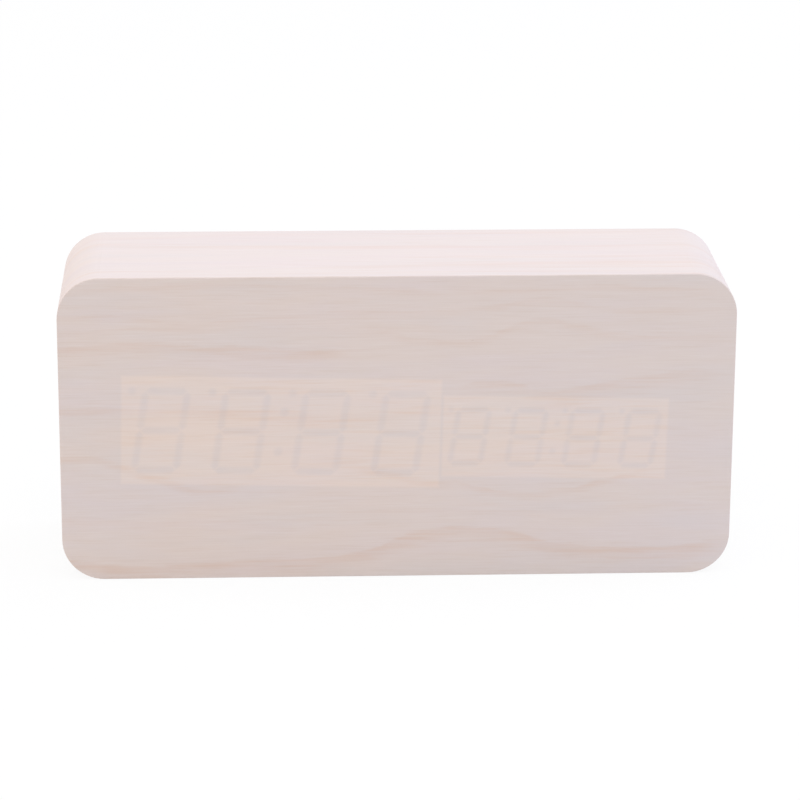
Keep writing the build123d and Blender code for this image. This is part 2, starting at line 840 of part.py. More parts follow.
with BuildPart() as battery_door_latch:
    bend_x = latch_near + latch_bend_radius
    catch_y = panel_in_y - latch_barb_gap
    with BuildSketch(Plane.XY.offset(mid_z - latch_width / 2)):
        with Locations(((door_right + latch_near + latch_leg) / 2, hinge_y)):
            Rectangle(latch_near + latch_leg - door_right, door_thickness)
        with Locations((latch_near + latch_leg / 2, (latch_bend_y + panel_out_y) / 2)):
            Rectangle(latch_leg, panel_out_y - latch_bend_y)
        with Locations((latch_far - latch_leg / 2, (latch_bend_y + panel_out_y) / 2)):
            Rectangle(latch_leg, panel_out_y - latch_bend_y)
        with Locations((bend_x, latch_bend_y)):
            Circle(latch_bend_radius)
        with Locations((bend_x, (latch_bend_y + panel_out_y + overrun) / 2)):
            Rectangle(latch_space, panel_out_y + overrun - latch_bend_y, mode=Mode.SUBTRACT)
        with Locations((bend_x, latch_bend_y)):
            Circle(latch_space / 2, mode=Mode.SUBTRACT)
        Polygon(
            (latch_far, catch_y),
            (latch_far + latch_barb, catch_y),
            (latch_far, catch_y - latch_barb_height),
            align=None,
        )
    extrude(amount=latch_width)
write(battery_door_latch, "battery_door_latch")

# Cells, the first with its raised end towards +X and then alternating
for number, z in enumerate(cell_places):
    ahead = 1 if number % 2 == 0 else -1
    end_x = bay_right if ahead > 0 else bay_left
    tip_x = end_x - ahead * (contact_thickness + contact_dimple_height)
    base = Plane(origin=(tip_x - ahead * cell_length, cell_y, z), x_dir=(0, 1, 0), z_dir=(ahead, 0, 0))
    with BuildPart(base) as battery_cell:
        Cylinder(cell_radius, cell_length - cell_nub_length, align=upwards)
        fillet(battery_cell.edges().filter_by(GeomType.CIRCLE), cell_edge_radius)
        with Locations((0, 0, cell_length - cell_nub_length)):
            Cylinder(cell_nub_radius, cell_nub_length, align=upwards)
    write(battery_cell, f"battery_cell_{number + 1}")

# Contact plates: at -X two that join neighbours, at +X one that joins the middle cells and one at each end
contact_high_y = cell_y + contact_top_rise
last_cell = cell_count - 1
contact_plates = [(-1, number, number + 1) for number in range(0, last_cell, 2)]
contact_plates += [(1, number, number + 1) for number in range(1, last_cell, 2)]
contact_plates += [(1, 0, 0), (1, last_cell, last_cell)]
with BuildPart() as battery_contacts:
    for ahead, first, last in contact_plates:
        end_x = bay_right if ahead > 0 else bay_left
        plate_x = end_x - ahead * contact_thickness / 2
        high_z = cell_places[first] + contact_width / 2
        low_z = cell_places[last] - contact_width / 2
        with Locations((plate_x, (bay_floor_y + contact_high_y) / 2, (high_z + low_z) / 2)):
            Box(contact_thickness, contact_high_y - bay_floor_y, high_z - low_z)
        for number in range(first, last + 1):
            raised_end = 1 if number % 2 == 0 else -1
            if raised_end == ahead:
                face_x = end_x - ahead * contact_thickness
                with Locations(Plane(origin=(face_x, cell_y, cell_places[number]), z_dir=(-ahead, 0, 0))):
                    Cylinder(contact_dimple_radius, contact_dimple_height, align=upwards)
write(battery_contacts, "battery_contacts")

stops = spring_route()
with BuildPart() as spring:
    with BuildLine() as coil:
        for (start, start_dir), (end, end_dir) in zip(stops, stops[1:]):
            middle, middle_dir = biarc(start, start_dir, end, end_dir)
            TangentArc(start, middle, tangent=start_dir)
            TangentArc(middle, end, tangent=middle_dir)
    with BuildSketch(Plane(origin=stops[0][0], z_dir=stops[0][1])):
        Circle(spring_wire / 2)
    sweep()
turn_sample_count = 60
sample_count = turn_sample_count * spring_half_turn_count // 2
coil_wire = coil.wires()[0]
coil_points = [coil_wire.position_at(number / sample_count) for number in range(sample_count + 1)]
coil_gap = min(
    (one - other).length - spring_wire
    for first, one in enumerate(coil_points)
    for other in coil_points[first + turn_sample_count // 2 :]
)
print("contact spring: least gap between turns", round(coil_gap, 3), "mm")

with BuildPart() as battery_springs:
    for number, z in enumerate(cell_places):
        ahead = 1 if number % 2 == 0 else -1
        face_x = bay_left + contact_thickness if ahead > 0 else bay_right - contact_thickness
        with Locations(Plane(origin=(face_x, cell_y, z), x_dir=(0, 1, 0), z_dir=(ahead, 0, 0))):
            add(spring.part)
write(battery_springs, "battery_springs")

# Control board
with BuildPart() as control_board:
    with BuildSketch(to_front(control_in_y)):
        with Locations((control_x, control_z)):
            RectangleRounded(control_width, control_height, control_radius)
        with Locations(*post_places):
            Circle(screw_shank_radius + board_hole_gap, mode=Mode.SUBTRACT)
    extrude(amount=-board_thickness)
write(control_board, "control_board")

with BuildPart() as control_board_screws:
    with Locations(*[to_rear(control_in_y, x, z) for x, z in post_places]):
        add(screw(control_screw_length))
write(control_board_screws, "control_board_screws")

# Push switches and buttons
for name, x in key_places.items():
    with BuildPart(to_rear(control_out_y, x, key_z)) as switch_body:
        Box(switch_side, switch_side, switch_height, align=upwards)
        chamber_radius = plunger_flange_radius + switch_gap
        chamber_height = switch_height - switch_roof - switch_floor
        mouth_radius = plunger_radius + switch_gap
        with Locations((0, 0, switch_floor)):
            Cylinder(chamber_radius, chamber_height, align=upwards, mode=Mode.SUBTRACT)
            Cylinder(mouth_radius, switch_height + overrun, align=upwards, mode=Mode.SUBTRACT)
        with GridLocations(switch_side + switch_leg_length, switch_leg_pitch, 2, 2):
            Box(switch_leg_length, switch_leg_width, switch_leg_thickness, align=upwards)
    write(switch_body, f"{name}_switch_body")

    flange_top = switch_height - switch_roof - switch_gap
    with BuildPart(to_rear(control_out_y, x, key_z)) as switch_plunger:
        with Locations((0, 0, flange_top - plunger_flange_height)):
            Cylinder(plunger_flange_radius, plunger_flange_height, align=upwards)
        with Locations((0, 0, flange_top)):
            Cylinder(plunger_radius, plunger_top - flange_top, align=upwards)
    write(switch_plunger, f"{name}_switch_plunger")

    button_flange_top = post_height - button_stop_gap
    button_top = post_height + panel_thickness + button_proud
    stem_length = button_flange_top - button_flange_height - plunger_top
    with BuildPart(to_rear(control_out_y, x, key_z)) as button:
        with Locations((0, 0, plunger_top)):
            Cylinder(button_radius, button_top - plunger_top, align=upwards)
        fillet(button.faces().sort_by(Axis.Y)[-1].edges(), button_round)
        with Locations((0, 0, plunger_top)):
            Cylinder(button_radius, stem_length, align=upwards, mode=Mode.SUBTRACT)
            Cylinder(button_stem_radius, stem_length, align=upwards)
        with Locations((0, 0, plunger_top + stem_length)):
            Cylinder(button_flange_radius, button_flange_height, align=upwards)
        with BuildSketch(to_rear(panel_out_y + button_proud, x, key_z)):
            if name == "set":
                Circle(symbol_radius)
                Circle(symbol_radius / 2, mode=Mode.SUBTRACT)
            else:
                RegularPolygon(symbol_radius, 3, rotation=90 if name == "up" else -90)
        extrude(amount=symbol_height)
    write(button, f"{name}_button")

# Parts on the panel side of the control board
jack_plane = to_rear(control_out_y, control_x + jack_across, control_z + jack_rise)
with BuildPart(jack_plane) as dc_jack_body:
    jack_mouth = post_height + panel_thickness - jack_nose_sink
    Box(jack_side, jack_side, jack_base_height, align=upwards)
    with Locations((0, 0, jack_base_height)):
        Cylinder(jack_nose_radius, jack_mouth - jack_base_height, align=upwards)
    with Locations((0, 0, jack_mouth - jack_bore_depth)):
        Cylinder(jack_bore_radius, jack_bore_depth + overrun, align=upwards, mode=Mode.SUBTRACT)
write(dc_jack_body, "dc_jack_body")

with BuildPart(jack_plane) as dc_jack_pin:
    with Locations((0, 0, jack_mouth - jack_bore_depth)):
        Cylinder(jack_pin_radius, jack_bore_depth - jack_pin_tip, align=upwards)
    fillet(dc_jack_pin.faces().sort_by(Axis.Y)[-1].edges(), jack_pin_radius / 2)
write(dc_jack_pin, "dc_jack_pin")

buzzer_plane = to_rear(control_out_y, control_x + buzzer_across, control_z + buzzer_rise)
with BuildPart(buzzer_plane) as alarm_buzzer:
    Cylinder(buzzer_radius, buzzer_height, align=upwards)
    chamfer(alarm_buzzer.faces().sort_by(Axis.Y)[-1].edges(), buzzer_edge)
    with Locations((0, 0, buzzer_height - buzzer_hole_depth)):
        Cylinder(buzzer_hole_radius, buzzer_hole_depth + overrun, align=upwards, mode=Mode.SUBTRACT)
write(alarm_buzzer, "alarm_buzzer")

microphone_plane = to_rear(control_out_y, control_x + microphone_across, control_z + microphone_rise)
with BuildPart(microphone_plane) as microphone:
    capsule_rise = post_height - microphone_gap - microphone_height
    with Locations((0, 0, capsule_rise)):
        Cylinder(microphone_radius, microphone_height, align=upwards)
    with Locations((0, 0, capsule_rise + microphone_height - microphone_felt_depth)):
        Cylinder(microphone_radius - microphone_rim, overrun, align=upwards, mode=Mode.SUBTRACT)
    with GridLocations(sensor_lead_pitch, 0, 2, 1):
        Cylinder(sensor_lead_radius, capsule_rise, align=upwards)
write(microphone, "microphone")

thermistor_plane = to_rear(control_out_y, control_x + thermistor_across, control_z + thermistor_rise)
with BuildPart(thermistor_plane) as temperature_sensor:
    bead_rise = post_height - thermistor_gap - thermistor_radius
    with Locations((0, 0, bead_rise)):
        Sphere(thermistor_radius, rotation=(0, 0, 90))
    with GridLocations(thermistor_radius, 0, 2, 1):
        Cylinder(sensor_lead_radius, bead_rise, align=upwards)
write(temperature_sensor, "temperature_sensor")

# Parts on the inner side of the control board
controller_chip = chip(
    to_front(control_in_y, control_x + controller_across, control_z + controller_rise),
    controller_length,
    controller_width,
    controller_height,
    controller_lead_count,
)
write(controller_chip, "controller_chip")

capacitor_plane = to_front(control_in_y, control_x + capacitor_across, control_z + capacitor_rise)
with BuildPart(capacitor_plane) as filter_capacitor:
    Cylinder(capacitor_radius, capacitor_height, align=upwards)
    fillet(filter_capacitor.faces().sort_by(Axis.Y)[0].edges(), capacitor_edge_radius)
    with Locations((0, 0, capacitor_groove_rise)):
        Cylinder(capacitor_radius + overrun, capacitor_groove_width, align=upwards, mode=Mode.SUBTRACT)
        Cylinder(capacitor_groove_radius, capacitor_groove_width, align=upwards)
write(filter_capacitor, "filter_capacitor")

crystal_plane = to_front(control_in_y, control_x + crystal_across, control_z + crystal_rise)
with BuildPart(crystal_plane) as clock_crystal:
    with Locations((0, 0, crystal_radius + crystal_gap)):
        Cylinder(crystal_radius, crystal_length, rotation=(0, 90, 0))
    lead_side = 2 * crystal_lead_radius
    for side in (-1, 1):
        lead_y = side * crystal_lead_pitch / 2
        with Locations((crystal_length / 2 + crystal_lead_length / 2, lead_y, crystal_radius)):
            Box(crystal_lead_length, lead_side, lead_side)
        with Locations((crystal_length / 2 + crystal_lead_length, lead_y, 0)):
            Box(lead_side, lead_side, crystal_radius + crystal_lead_radius, align=upwards)
write(clock_crystal, "clock_crystal")

coin_plane = to_front(control_in_y, control_x + coin_across, control_z + coin_rise)
with BuildPart(coin_plane) as coin_cell_holder:
    Cylinder(coin_radius + coin_gap + coin_cup_wall, coin_cup_height, align=upwards)
    with Locations((0, 0, coin_cup_floor)):
        Cylinder(coin_radius + coin_gap, coin_cup_height + overrun, align=upwards, mode=Mode.SUBTRACT)
write(coin_cell_holder, "coin_cell_holder")

with BuildPart(coin_plane) as backup_coin_cell:
    with Locations((0, 0, coin_cup_floor)):
        Cylinder(coin_radius - coin_step, coin_step_depth, align=upwards)
    with Locations((0, 0, coin_cup_floor + coin_step_depth)):
        Cylinder(coin_radius, coin_height - coin_step_depth, align=upwards)
write(backup_coin_cell, "backup_coin_cell")

with BuildPart(coin_plane) as coin_cell_clip:
    clip_span = 2 * (coin_radius + coin_gap + coin_cup_wall + coin_clip_thickness + coin_gap)
    coin_top = coin_cup_floor + coin_height
    with Locations((0, 0, coin_top)):
        Box(clip_span, coin_clip_width, coin_clip_thickness, align=upwards)
    with GridLocations(clip_span - coin_clip_thickness, 0, 2, 1):
        Box(coin_clip_thickness, coin_clip_width, coin_top, align=upwards)
write(coin_cell_clip, "coin_cell_clip")

# Flat cable between the boards, and the two battery leads
cable_start_x = control_left + cable_inset
cable_end_x = display_shift + cable_along
cable_points = [
    (cable_start_x, control_in_y, mid_z),
    (cable_start_x, control_in_y - cable_run, mid_z),
    (cable_end_x, board_rear_y + cable_run, mid_z),
    (cable_end_x, board_rear_y, mid_z),
]
with BuildPart() as board_cable:
    with BuildLine() as cable_route:
        FilletPolyline(*cable_points, radius=bend_radii(cable_points))
    with BuildSketch(Plane(origin=cable_points[0], x_dir=(0, 0, 1), z_dir=(0, -1, 0))):
        with GridLocations(cable_pitch, 0, cable_wire_count, 1):
            Circle(cable_wire_radius)
    sweep()
write(board_cable, "board_cable")

for name, number, drift in (("red", 0, -1), ("black", cell_count - 1, 1)):
    start_z = cell_places[number]
    pad_x = control_left + lead_inset
    pad_z = start_z + drift * lead_drift
    low_y = control_in_y - lead_drop
    lead_points = [
        (bay_right, cell_y, start_z),
        (tray_right + lead_stub, cell_y, start_z),
        (tray_right + lead_stub + lead_inset, low_y, (start_z + pad_z) / 2),
        (pad_x, low_y, pad_z),
        (pad_x, control_in_y, pad_z),
    ]
    radii = bend_radii(lead_points)
    with BuildPart() as battery_lead:
        with BuildLine() as lead_route:
            FilletPolyline(*lead_points, radius=radii)
        with BuildSketch(Plane(origin=lead_points[0], z_dir=(1, 0, 0))):
            Circle(lead_radius)
        sweep()
    full_volume = math.pi * lead_radius**2 * lead_route.wires()[0].length
    volume_share = battery_lead.part.volume / full_volume
    print(name, "lead: bend radii", [round(radius, 2) for radius in radii], "mm")
    print(name, "lead: share of its full volume", round(volume_share, 4))
    write(battery_lead, f"battery_lead_{name}")

print("overall", round(case_width, 3), "x", case_depth, "x", round(case_height, 3), "mm")
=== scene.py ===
"""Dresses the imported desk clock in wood, plastic and metal and sets it up for its picture.

The frame is the model's own: +Z is up, the display faces -Y, lengths are in metres.
Patterns are worked out in millimetres and read the Object coordinates.
"""

import math
from functools import partial

import bpy
from mathutils import Matrix, Vector


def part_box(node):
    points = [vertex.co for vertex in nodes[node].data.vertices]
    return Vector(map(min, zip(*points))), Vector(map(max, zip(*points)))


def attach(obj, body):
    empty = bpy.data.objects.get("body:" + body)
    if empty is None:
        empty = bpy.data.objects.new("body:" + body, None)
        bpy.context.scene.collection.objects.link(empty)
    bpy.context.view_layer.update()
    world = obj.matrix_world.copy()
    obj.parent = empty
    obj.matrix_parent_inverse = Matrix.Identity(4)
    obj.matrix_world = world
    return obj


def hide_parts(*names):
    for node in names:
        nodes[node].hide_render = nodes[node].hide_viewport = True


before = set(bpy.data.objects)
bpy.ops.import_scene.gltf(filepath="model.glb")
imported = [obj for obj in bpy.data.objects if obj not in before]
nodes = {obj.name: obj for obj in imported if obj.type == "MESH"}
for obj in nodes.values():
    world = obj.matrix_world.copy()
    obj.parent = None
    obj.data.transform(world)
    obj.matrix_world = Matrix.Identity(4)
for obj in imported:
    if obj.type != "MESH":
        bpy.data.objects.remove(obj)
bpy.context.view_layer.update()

mm = 0.001
soft = {"interpolation_type": "SMOOTHSTEP"}
colours = {"out": 2, "data_type": "RGBA"}


def linear(hex_colour):
    """An sRGB colour such as E3D7D3 as the linear colour that a shader takes."""
    channels = []
    for start in (0, 2, 4):
        share = int(hex_colour[start : start + 2], 16) / 255
        channels.append(share / 12.92 if share <= 0.04045 else ((share + 0.055) / 1.055) ** 2.4)
    return (*channels, 1.0)


def add(tree, kind, inputs=None, out=0, **settings):
    """Adds one node, sets and links its inputs, and gives the output asked for."""
    node = tree.nodes.new(kind)
    for name, value in settings.items():
        setattr(node, name, value)
    for socket, value in (inputs or {}).items():
        for source in value if isinstance(value, list) else [value]:
            if isinstance(source, bpy.types.NodeSocket):
                tree.links.new(source, node.inputs[socket])
            else:
                node.inputs[socket].default_value = source
    return node.outputs[out] if node.outputs else None


def new_material(name):
    """An empty material, a call that adds a node to it, and the place on the clock in millimetres."""
    material = bpy.data.materials.new(name)
    material.use_nodes = True
    material.node_tree.nodes.clear()
    node = partial(add, material.node_tree)
    place = node("ShaderNodeTexCoord", out="Object")
    place_mm = node("ShaderNodeVectorMath", {0: place, "Scale": 1 / mm}, operation="SCALE")
    return material, node, place_mm


# Maple veneer under a thin white wash: pale pink-beige, silky, with faint tan growth lines
wash_over_white = linear("E9D7CC")
wash_over_dark = linear("F8FAFD")  # multiplied in where fibreboard or a grey segment shows through
# The wrap's wash, painted cooler and lighter than the front's as if in skylight
wash_with_painted_skylight = linear("E8DCD8")
# A cool tone: patches of the wash, and painted cool light towards the front's right end
cool_wash_and_painted_light = linear("DAD6D8")
lilac_wash = linear("E5D6D8")
tan_fibre = linear("DCC5B4")
clear_fibre = linear("E9CBB5")
pale_fibre = linear("F4E9E3")
growth_tan = linear("E0BAA0")
growth_brown = linear("CFB2A2")
pore_brown = linear("A98A78")

front_low, front_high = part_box("front_veneer")
case_width_mm = (front_high.x - front_low.x) / mm
case_height_mm = (front_high.z - front_low.z) / mm

# Growth lines of the front, in mm across from the left end and up from the base.
# After the path: how far each fades above and below, and how strong it is.
front_growth_lines = [
    ([(0, 53.8), (15, 54.8), (30, 54.2), (45, 53.2), (54, 52.7), (66, 53.8)], (0.9, 3.2, 0.9)),
    (
        [(62, 56.8), (73, 57.0), (80, 55.2), (94, 55.6), (101, 58.6)]
        + [(107, 60.0), (114, 58.4), (121, 56.4), (150, 56.2)],
        (0.8, 2.2, 0.5),
    ),
    (
        [(86, 43.0), (92, 45.0), (100, 45.2), (107, 43.2)]
        + [(120, 44.8), (130, 46.4), (137, 47.4), (150, 46.8)],
        (0.9, 4.6, 0.6),
    ),
    ([(0, 28.2), (8, 28.0), (14, 25.8), (24, 22.4), (31, 20.8), (42, 22.0)], (1.4, 1.4, 0.7)),
    ([(0, 39.8), (20, 39.6), (45, 39.2), (62, 38.0), (86, 40.6)], (0.8, 3.4, 0.6)),
    (
        [(0, 4.6), (16, 2.7), (30, 3.2), (60, 4.6), (70, 6.4), (75, 8.8)]
        + [(89, 11.2), (97, 10.9), (110, 7.2), (125, 6.0), (150, 7.4)],
        (0.9, 4.2, 1.1),
    ),
    ([(84, 24.0), (93, 20.8), (101, 19.2), (112, 20.0), (122, 22.6), (134, 25.6)], (0.8, 2.0, 0.75)),
    (
        [(0, 61.4), (16, 61.0), (25, 59.6), (40, 60.2), (52, 61.2)]
        + [(92, 62.2), (108, 64.4), (122, 62.2), (150, 62.6)],
        (0.7, 1.8, 0.38),
    ),
    ([(0, 66.6), (18, 68.2), (60, 67.8), (90, 66.4), (120, 67.4), (150, 65.8)], (0.7, 1.6, 0.4)),
    ([(60, 27.0), (72, 24.2), (86, 21.8), (92, 22.6)], (1.4, 1.6, 0.5)),
    ([(0, 57.6), (30, 58.4), (65, 57.8), (90, 59.2)], (0.5, 1.6, 0.28)),
    ([(0, 14.6), (40, 13.0), (75, 15.6), (110, 15.0), (150, 17.6)], (0.7, 2.0, 0.22)),
]


def growth_streak(node, across_share, up_mm, path, above, below, strength):
    """A growth line along a path: strongest on it, fading out on both sides, and tapered at its ends."""
    taper_mm = 9
    level_share = node("ShaderNodeFloatCurve", {"Value": across_share})
    curve = level_share.node.mapping.curves[0]
    shares = [(x / case_width_mm, z / case_height_mm) for x, z in path]
    curve.points[0].location = shares[0]
    curve.points[1].location = shares[-1]
    for share in shares[1:-1]:
        curve.points.new(*share)
    level_share.node.mapping.update()
    height = node("ShaderNodeMath", {0: level_share, 1: -case_height_mm, 2: up_mm}, operation="MULTIPLY_ADD")
    upper = node("ShaderNodeMapRange", {0: height, 1: 0.0, 2: above, 3: 1.0, 4: 0.0}, **soft)
    lower = node("ShaderNodeMapRange", {0: height, 1: -below, 2: 0.0, 3: 0.0, 4: strength}, **soft)
    line = node("ShaderNodeMath", {0: upper, 1: lower}, operation="MULTIPLY")
    first, last = shares[0][0], shares[-1][0]
    taper = taper_mm / case_width_mm
    if first > 0:
        start = node("ShaderNodeMapRange", {0: across_share, 1: first, 2: first + taper}, **soft)
        line = node("ShaderNodeMath", {0: line, 1: start}, operation="MULTIPLY")
    if last < 1:
        end = node("ShaderNodeMapRange", {0: across_share, 1: last - taper, 2: last, 3: 1.0, 4: 0.0}, **soft)
        line = node("ShaderNodeMath", {0: line, 1: end}, operation="MULTIPLY")
    return line


def maple_grain(node, place_mm, base, fibre, cloud):
    """The washed veneer's own colour, and the height of its fibres.

    Fibre and cloud are the sizes of a wood fibre and of a patch of wash, in mm along x, y and z.
    """
    fibre_place = node("ShaderNodeVectorMath", {0: place_mm, 1: fibre}, operation="DIVIDE")
    fibres = node("ShaderNodeTexNoise", {"Vector": fibre_place, "Scale": 1.0, "Detail": 3.0})
    cloud_place = node("ShaderNodeVectorMath", {0: place_mm, 1: cloud}, operation="DIVIDE")
    clouds = node("ShaderNodeTexNoise", {"Vector": cloud_place, "Scale": 1.0, "Detail": 3.0})
    elsewhere = (7.0, 3.0, 5.0)
    far_place = node("ShaderNodeVectorMath", {0: cloud_place, 1: elsewhere}, operation="ADD")
    far_clouds = node("ShaderNodeTexNoise", {"Vector": far_place, "Scale": 1.0, "Detail": 3.0})
    cool = node("ShaderNodeMapRange", {0: clouds, 1: 0.4, 2: 0.7, 3: 0.0, 4: 0.2}, **soft)
    lilac = node("ShaderNodeMapRange", {0: far_clouds, 1: 0.4, 2: 0.7, 3: 0.0, 4: 0.25}, **soft)
    tan = node("ShaderNodeMapRange", {0: fibres, 1: 0.5, 2: 0.8, 3: 0.0, 4: 0.26}, **soft)
    pale = node("ShaderNodeMapRange", {0: fibres, 1: 0.2, 2: 0.5, 3: 0.18, 4: 0.0}, **soft)
    colour = node("ShaderNodeMix", {0: cool, 6: base, 7: cool_wash_and_painted_light}, **colours)
    colour = node("ShaderNodeMix", {0: lilac, 6: colour, 7: lilac_wash}, **colours)
    colour = node("ShaderNodeMix", {0: tan, 6: colour, 7: tan_fibre}, **colours)
    colour = node("ShaderNodeMix", {0: pale, 6: colour, 7: pale_fibre}, **colours)
    return colour, fibres


def satin_wash(node, colour, fibres):
    """The veneer's satin skin: a faint relief and a gloss that breaks along the fibres."""
    normal = node("ShaderNodeBump", {"Strength": 0.15, "Distance": 0.05 * mm, "Height": fibres})
    roughness = node("ShaderNodeMapRange", {0: fibres, 1: 0.3, 2: 0.7, 3: 0.5, 4: 0.62})
    looks = {"Base Color": colour, "Roughness": roughness, "Specular IOR Level": 0.35, "Normal": normal}
    surface = node("ShaderNodeBsdfPrincipled", looks)
    node("ShaderNodeOutputMaterial", {"Surface": surface})


def display_ghost(node, place_mm, housing, tall, across, stroke, pitch, dot, colon):
    """Where a display's face and its segments show through the veneer, as two shares.

    The sizes are the module's own: a digit's height and width between the middles of its strokes,
    the stroke's width, the digits' spacing, and for the dots radius, place and the colon's rise.
    """
    tilt = math.radians(1.3)
    slope = math.tan(math.radians(7.7))
    point_gap = 0.15
    segment_blur = 0.6
    dot_radius, dot_out, dot_up = dot
    colon_radius, colon_rise = colon
    low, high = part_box(housing)
    centre = (low + high) / 2 / mm
    # The box of a turned rectangle gives back the rectangle's own sides
    box_across, box_up = (high.x - low.x) / mm, (high.z - low.z) / mm
    turn = math.cos(tilt) ** 2 - math.sin(tilt) ** 2
    width = (box_across * math.cos(tilt) - box_up * math.sin(tilt)) / turn
    height = (box_up * math.cos(tilt) - box_across * math.sin(tilt)) / turn

    turned = {"Vector": place_mm, "Location": centre, "Rotation": (0, tilt, 0)}
    local = node("ShaderNodeMapping", turned, vector_type="TEXTURE")
    split = node("ShaderNodeSeparateXYZ", {0: local}).node
    u, v = split.outputs["X"], split.outputs["Z"]
    side = node("ShaderNodeMath", {0: u}, operation="ABSOLUTE")
    rise = node("ShaderNodeMath", {0: v}, operation="ABSOLUTE")
    past_side = node("ShaderNodeMath", {0: side, 1: width / 2}, operation="SUBTRACT")
    past_top = node("ShaderNodeMath", {0: rise, 1: height / 2}, operation="SUBTRACT")
    past_window = node("ShaderNodeMath", {0: past_side, 1: past_top}, operation="MAXIMUM")
    window = node("ShaderNodeMapRange", {0: past_window, 1: -0.5, 2: 0.4, 3: 1.0, 4: 0.0}, **soft)

    # Take out the slant, then fold the four digits onto one and that onto its upper right quarter
    lean = node("ShaderNodeMath", {0: v, 1: -slope, 2: u}, operation="MULTIPLY_ADD")
    turns = node("ShaderNodeMath", {0: lean, 1: pitch}, operation="DIVIDE")
    share = node("ShaderNodeMath", {0: turns}, operation="FRACT")
    within = node("ShaderNodeMath", {0: share, 1: pitch, 2: -pitch / 2}, operation="MULTIPLY_ADD")
    out = node("ShaderNodeMath", {0: within}, operation="ABSOLUTE")
    top_level = node("ShaderNodeMath", {0: rise, 1: tall / 2}, operation="SUBTRACT")
    top_gap = node("ShaderNodeMath", {0: top_level}, operation="ABSOLUTE")
    flat_gap = node("ShaderNodeMath", {0: rise, 1: top_gap}, operation="MINIMUM")
    flat_side = node("ShaderNodeMath", {0: flat_gap, 1: stroke / 2}, operation="SUBTRACT")
    flat_reach = node("ShaderNodeMath", {0: out, 1: flat_gap}, operation="ADD")
    flat_end = node("ShaderNodeMath", {0: flat_reach, 1: across / 2 - point_gap}, operation="SUBTRACT")
    flat = node("ShaderNodeMath", {0: flat_side, 1: flat_end}, operation="MAXIMUM")
    post_place = node("ShaderNodeMath", {0: out, 1: across / 2}, operation="SUBTRACT")
    post_gap = node("ShaderNodeMath", {0: post_place}, operation="ABSOLUTE")
    post_side = node("ShaderNodeMath", {0: post_gap, 1: stroke / 2}, operation="SUBTRACT")
    post_rise = node("ShaderNodeMath", {0: rise, 1: tall / 4}, operation="SUBTRACT")
    post_level = node("ShaderNodeMath", {0: post_rise}, operation="ABSOLUTE")
    post_reach = node("ShaderNodeMath", {0: post_level, 1: post_gap}, operation="ADD")
    post_end = node("ShaderNodeMath", {0: post_reach, 1: tall / 4 - point_gap}, operation="SUBTRACT")
    post = node("ShaderNodeMath", {0: post_side, 1: post_end}, operation="MAXIMUM")
    strokes = node("ShaderNodeMath", {0: flat, 1: post}, operation="MINIMUM")

    dot_place = node("ShaderNodeMath", {0: within, 1: dot_out + dot_up * slope}, operation="ADD")
    dot_level = node("ShaderNodeMath", {0: v, 1: dot_up}, operation="SUBTRACT")
    dot_lean = node("ShaderNodeMath", {0: dot_level, 1: slope, 2: dot_place}, operation="MULTIPLY_ADD")
    dot_offset = node("ShaderNodeCombineXYZ", {"X": dot_lean, "Y": dot_level})
    dot_reach = node("ShaderNodeVectorMath", {0: dot_offset}, out="Value", operation="LENGTH")
    dots = node("ShaderNodeMath", {0: dot_reach, 1: dot_radius}, operation="SUBTRACT")
    colon_level = node("ShaderNodeMath", {0: rise, 1: colon_rise}, operation="SUBTRACT")
    colon_offset = node("ShaderNodeCombineXYZ", {"X": lean, "Y": colon_level})
    colon_reach = node("ShaderNodeVectorMath", {0: colon_offset}, out="Value", operation="LENGTH")
    colons = node("ShaderNodeMath", {0: colon_reach, 1: colon_radius}, operation="SUBTRACT")
    round_marks = node("ShaderNodeMath", {0: dots, 1: colons}, operation="MINIMUM")
    marks = node("ShaderNodeMath", {0: strokes, 1: round_marks}, operation="MINIMUM")
    grey = node("ShaderNodeMapRange", {0: marks, 1: -segment_blur, 2: segment_blur, 3: 1.0, 4: 0.0}, **soft)
    segment = node("ShaderNodeMath", {0: grey, 1: window}, operation="MULTIPLY")
    return window, segment


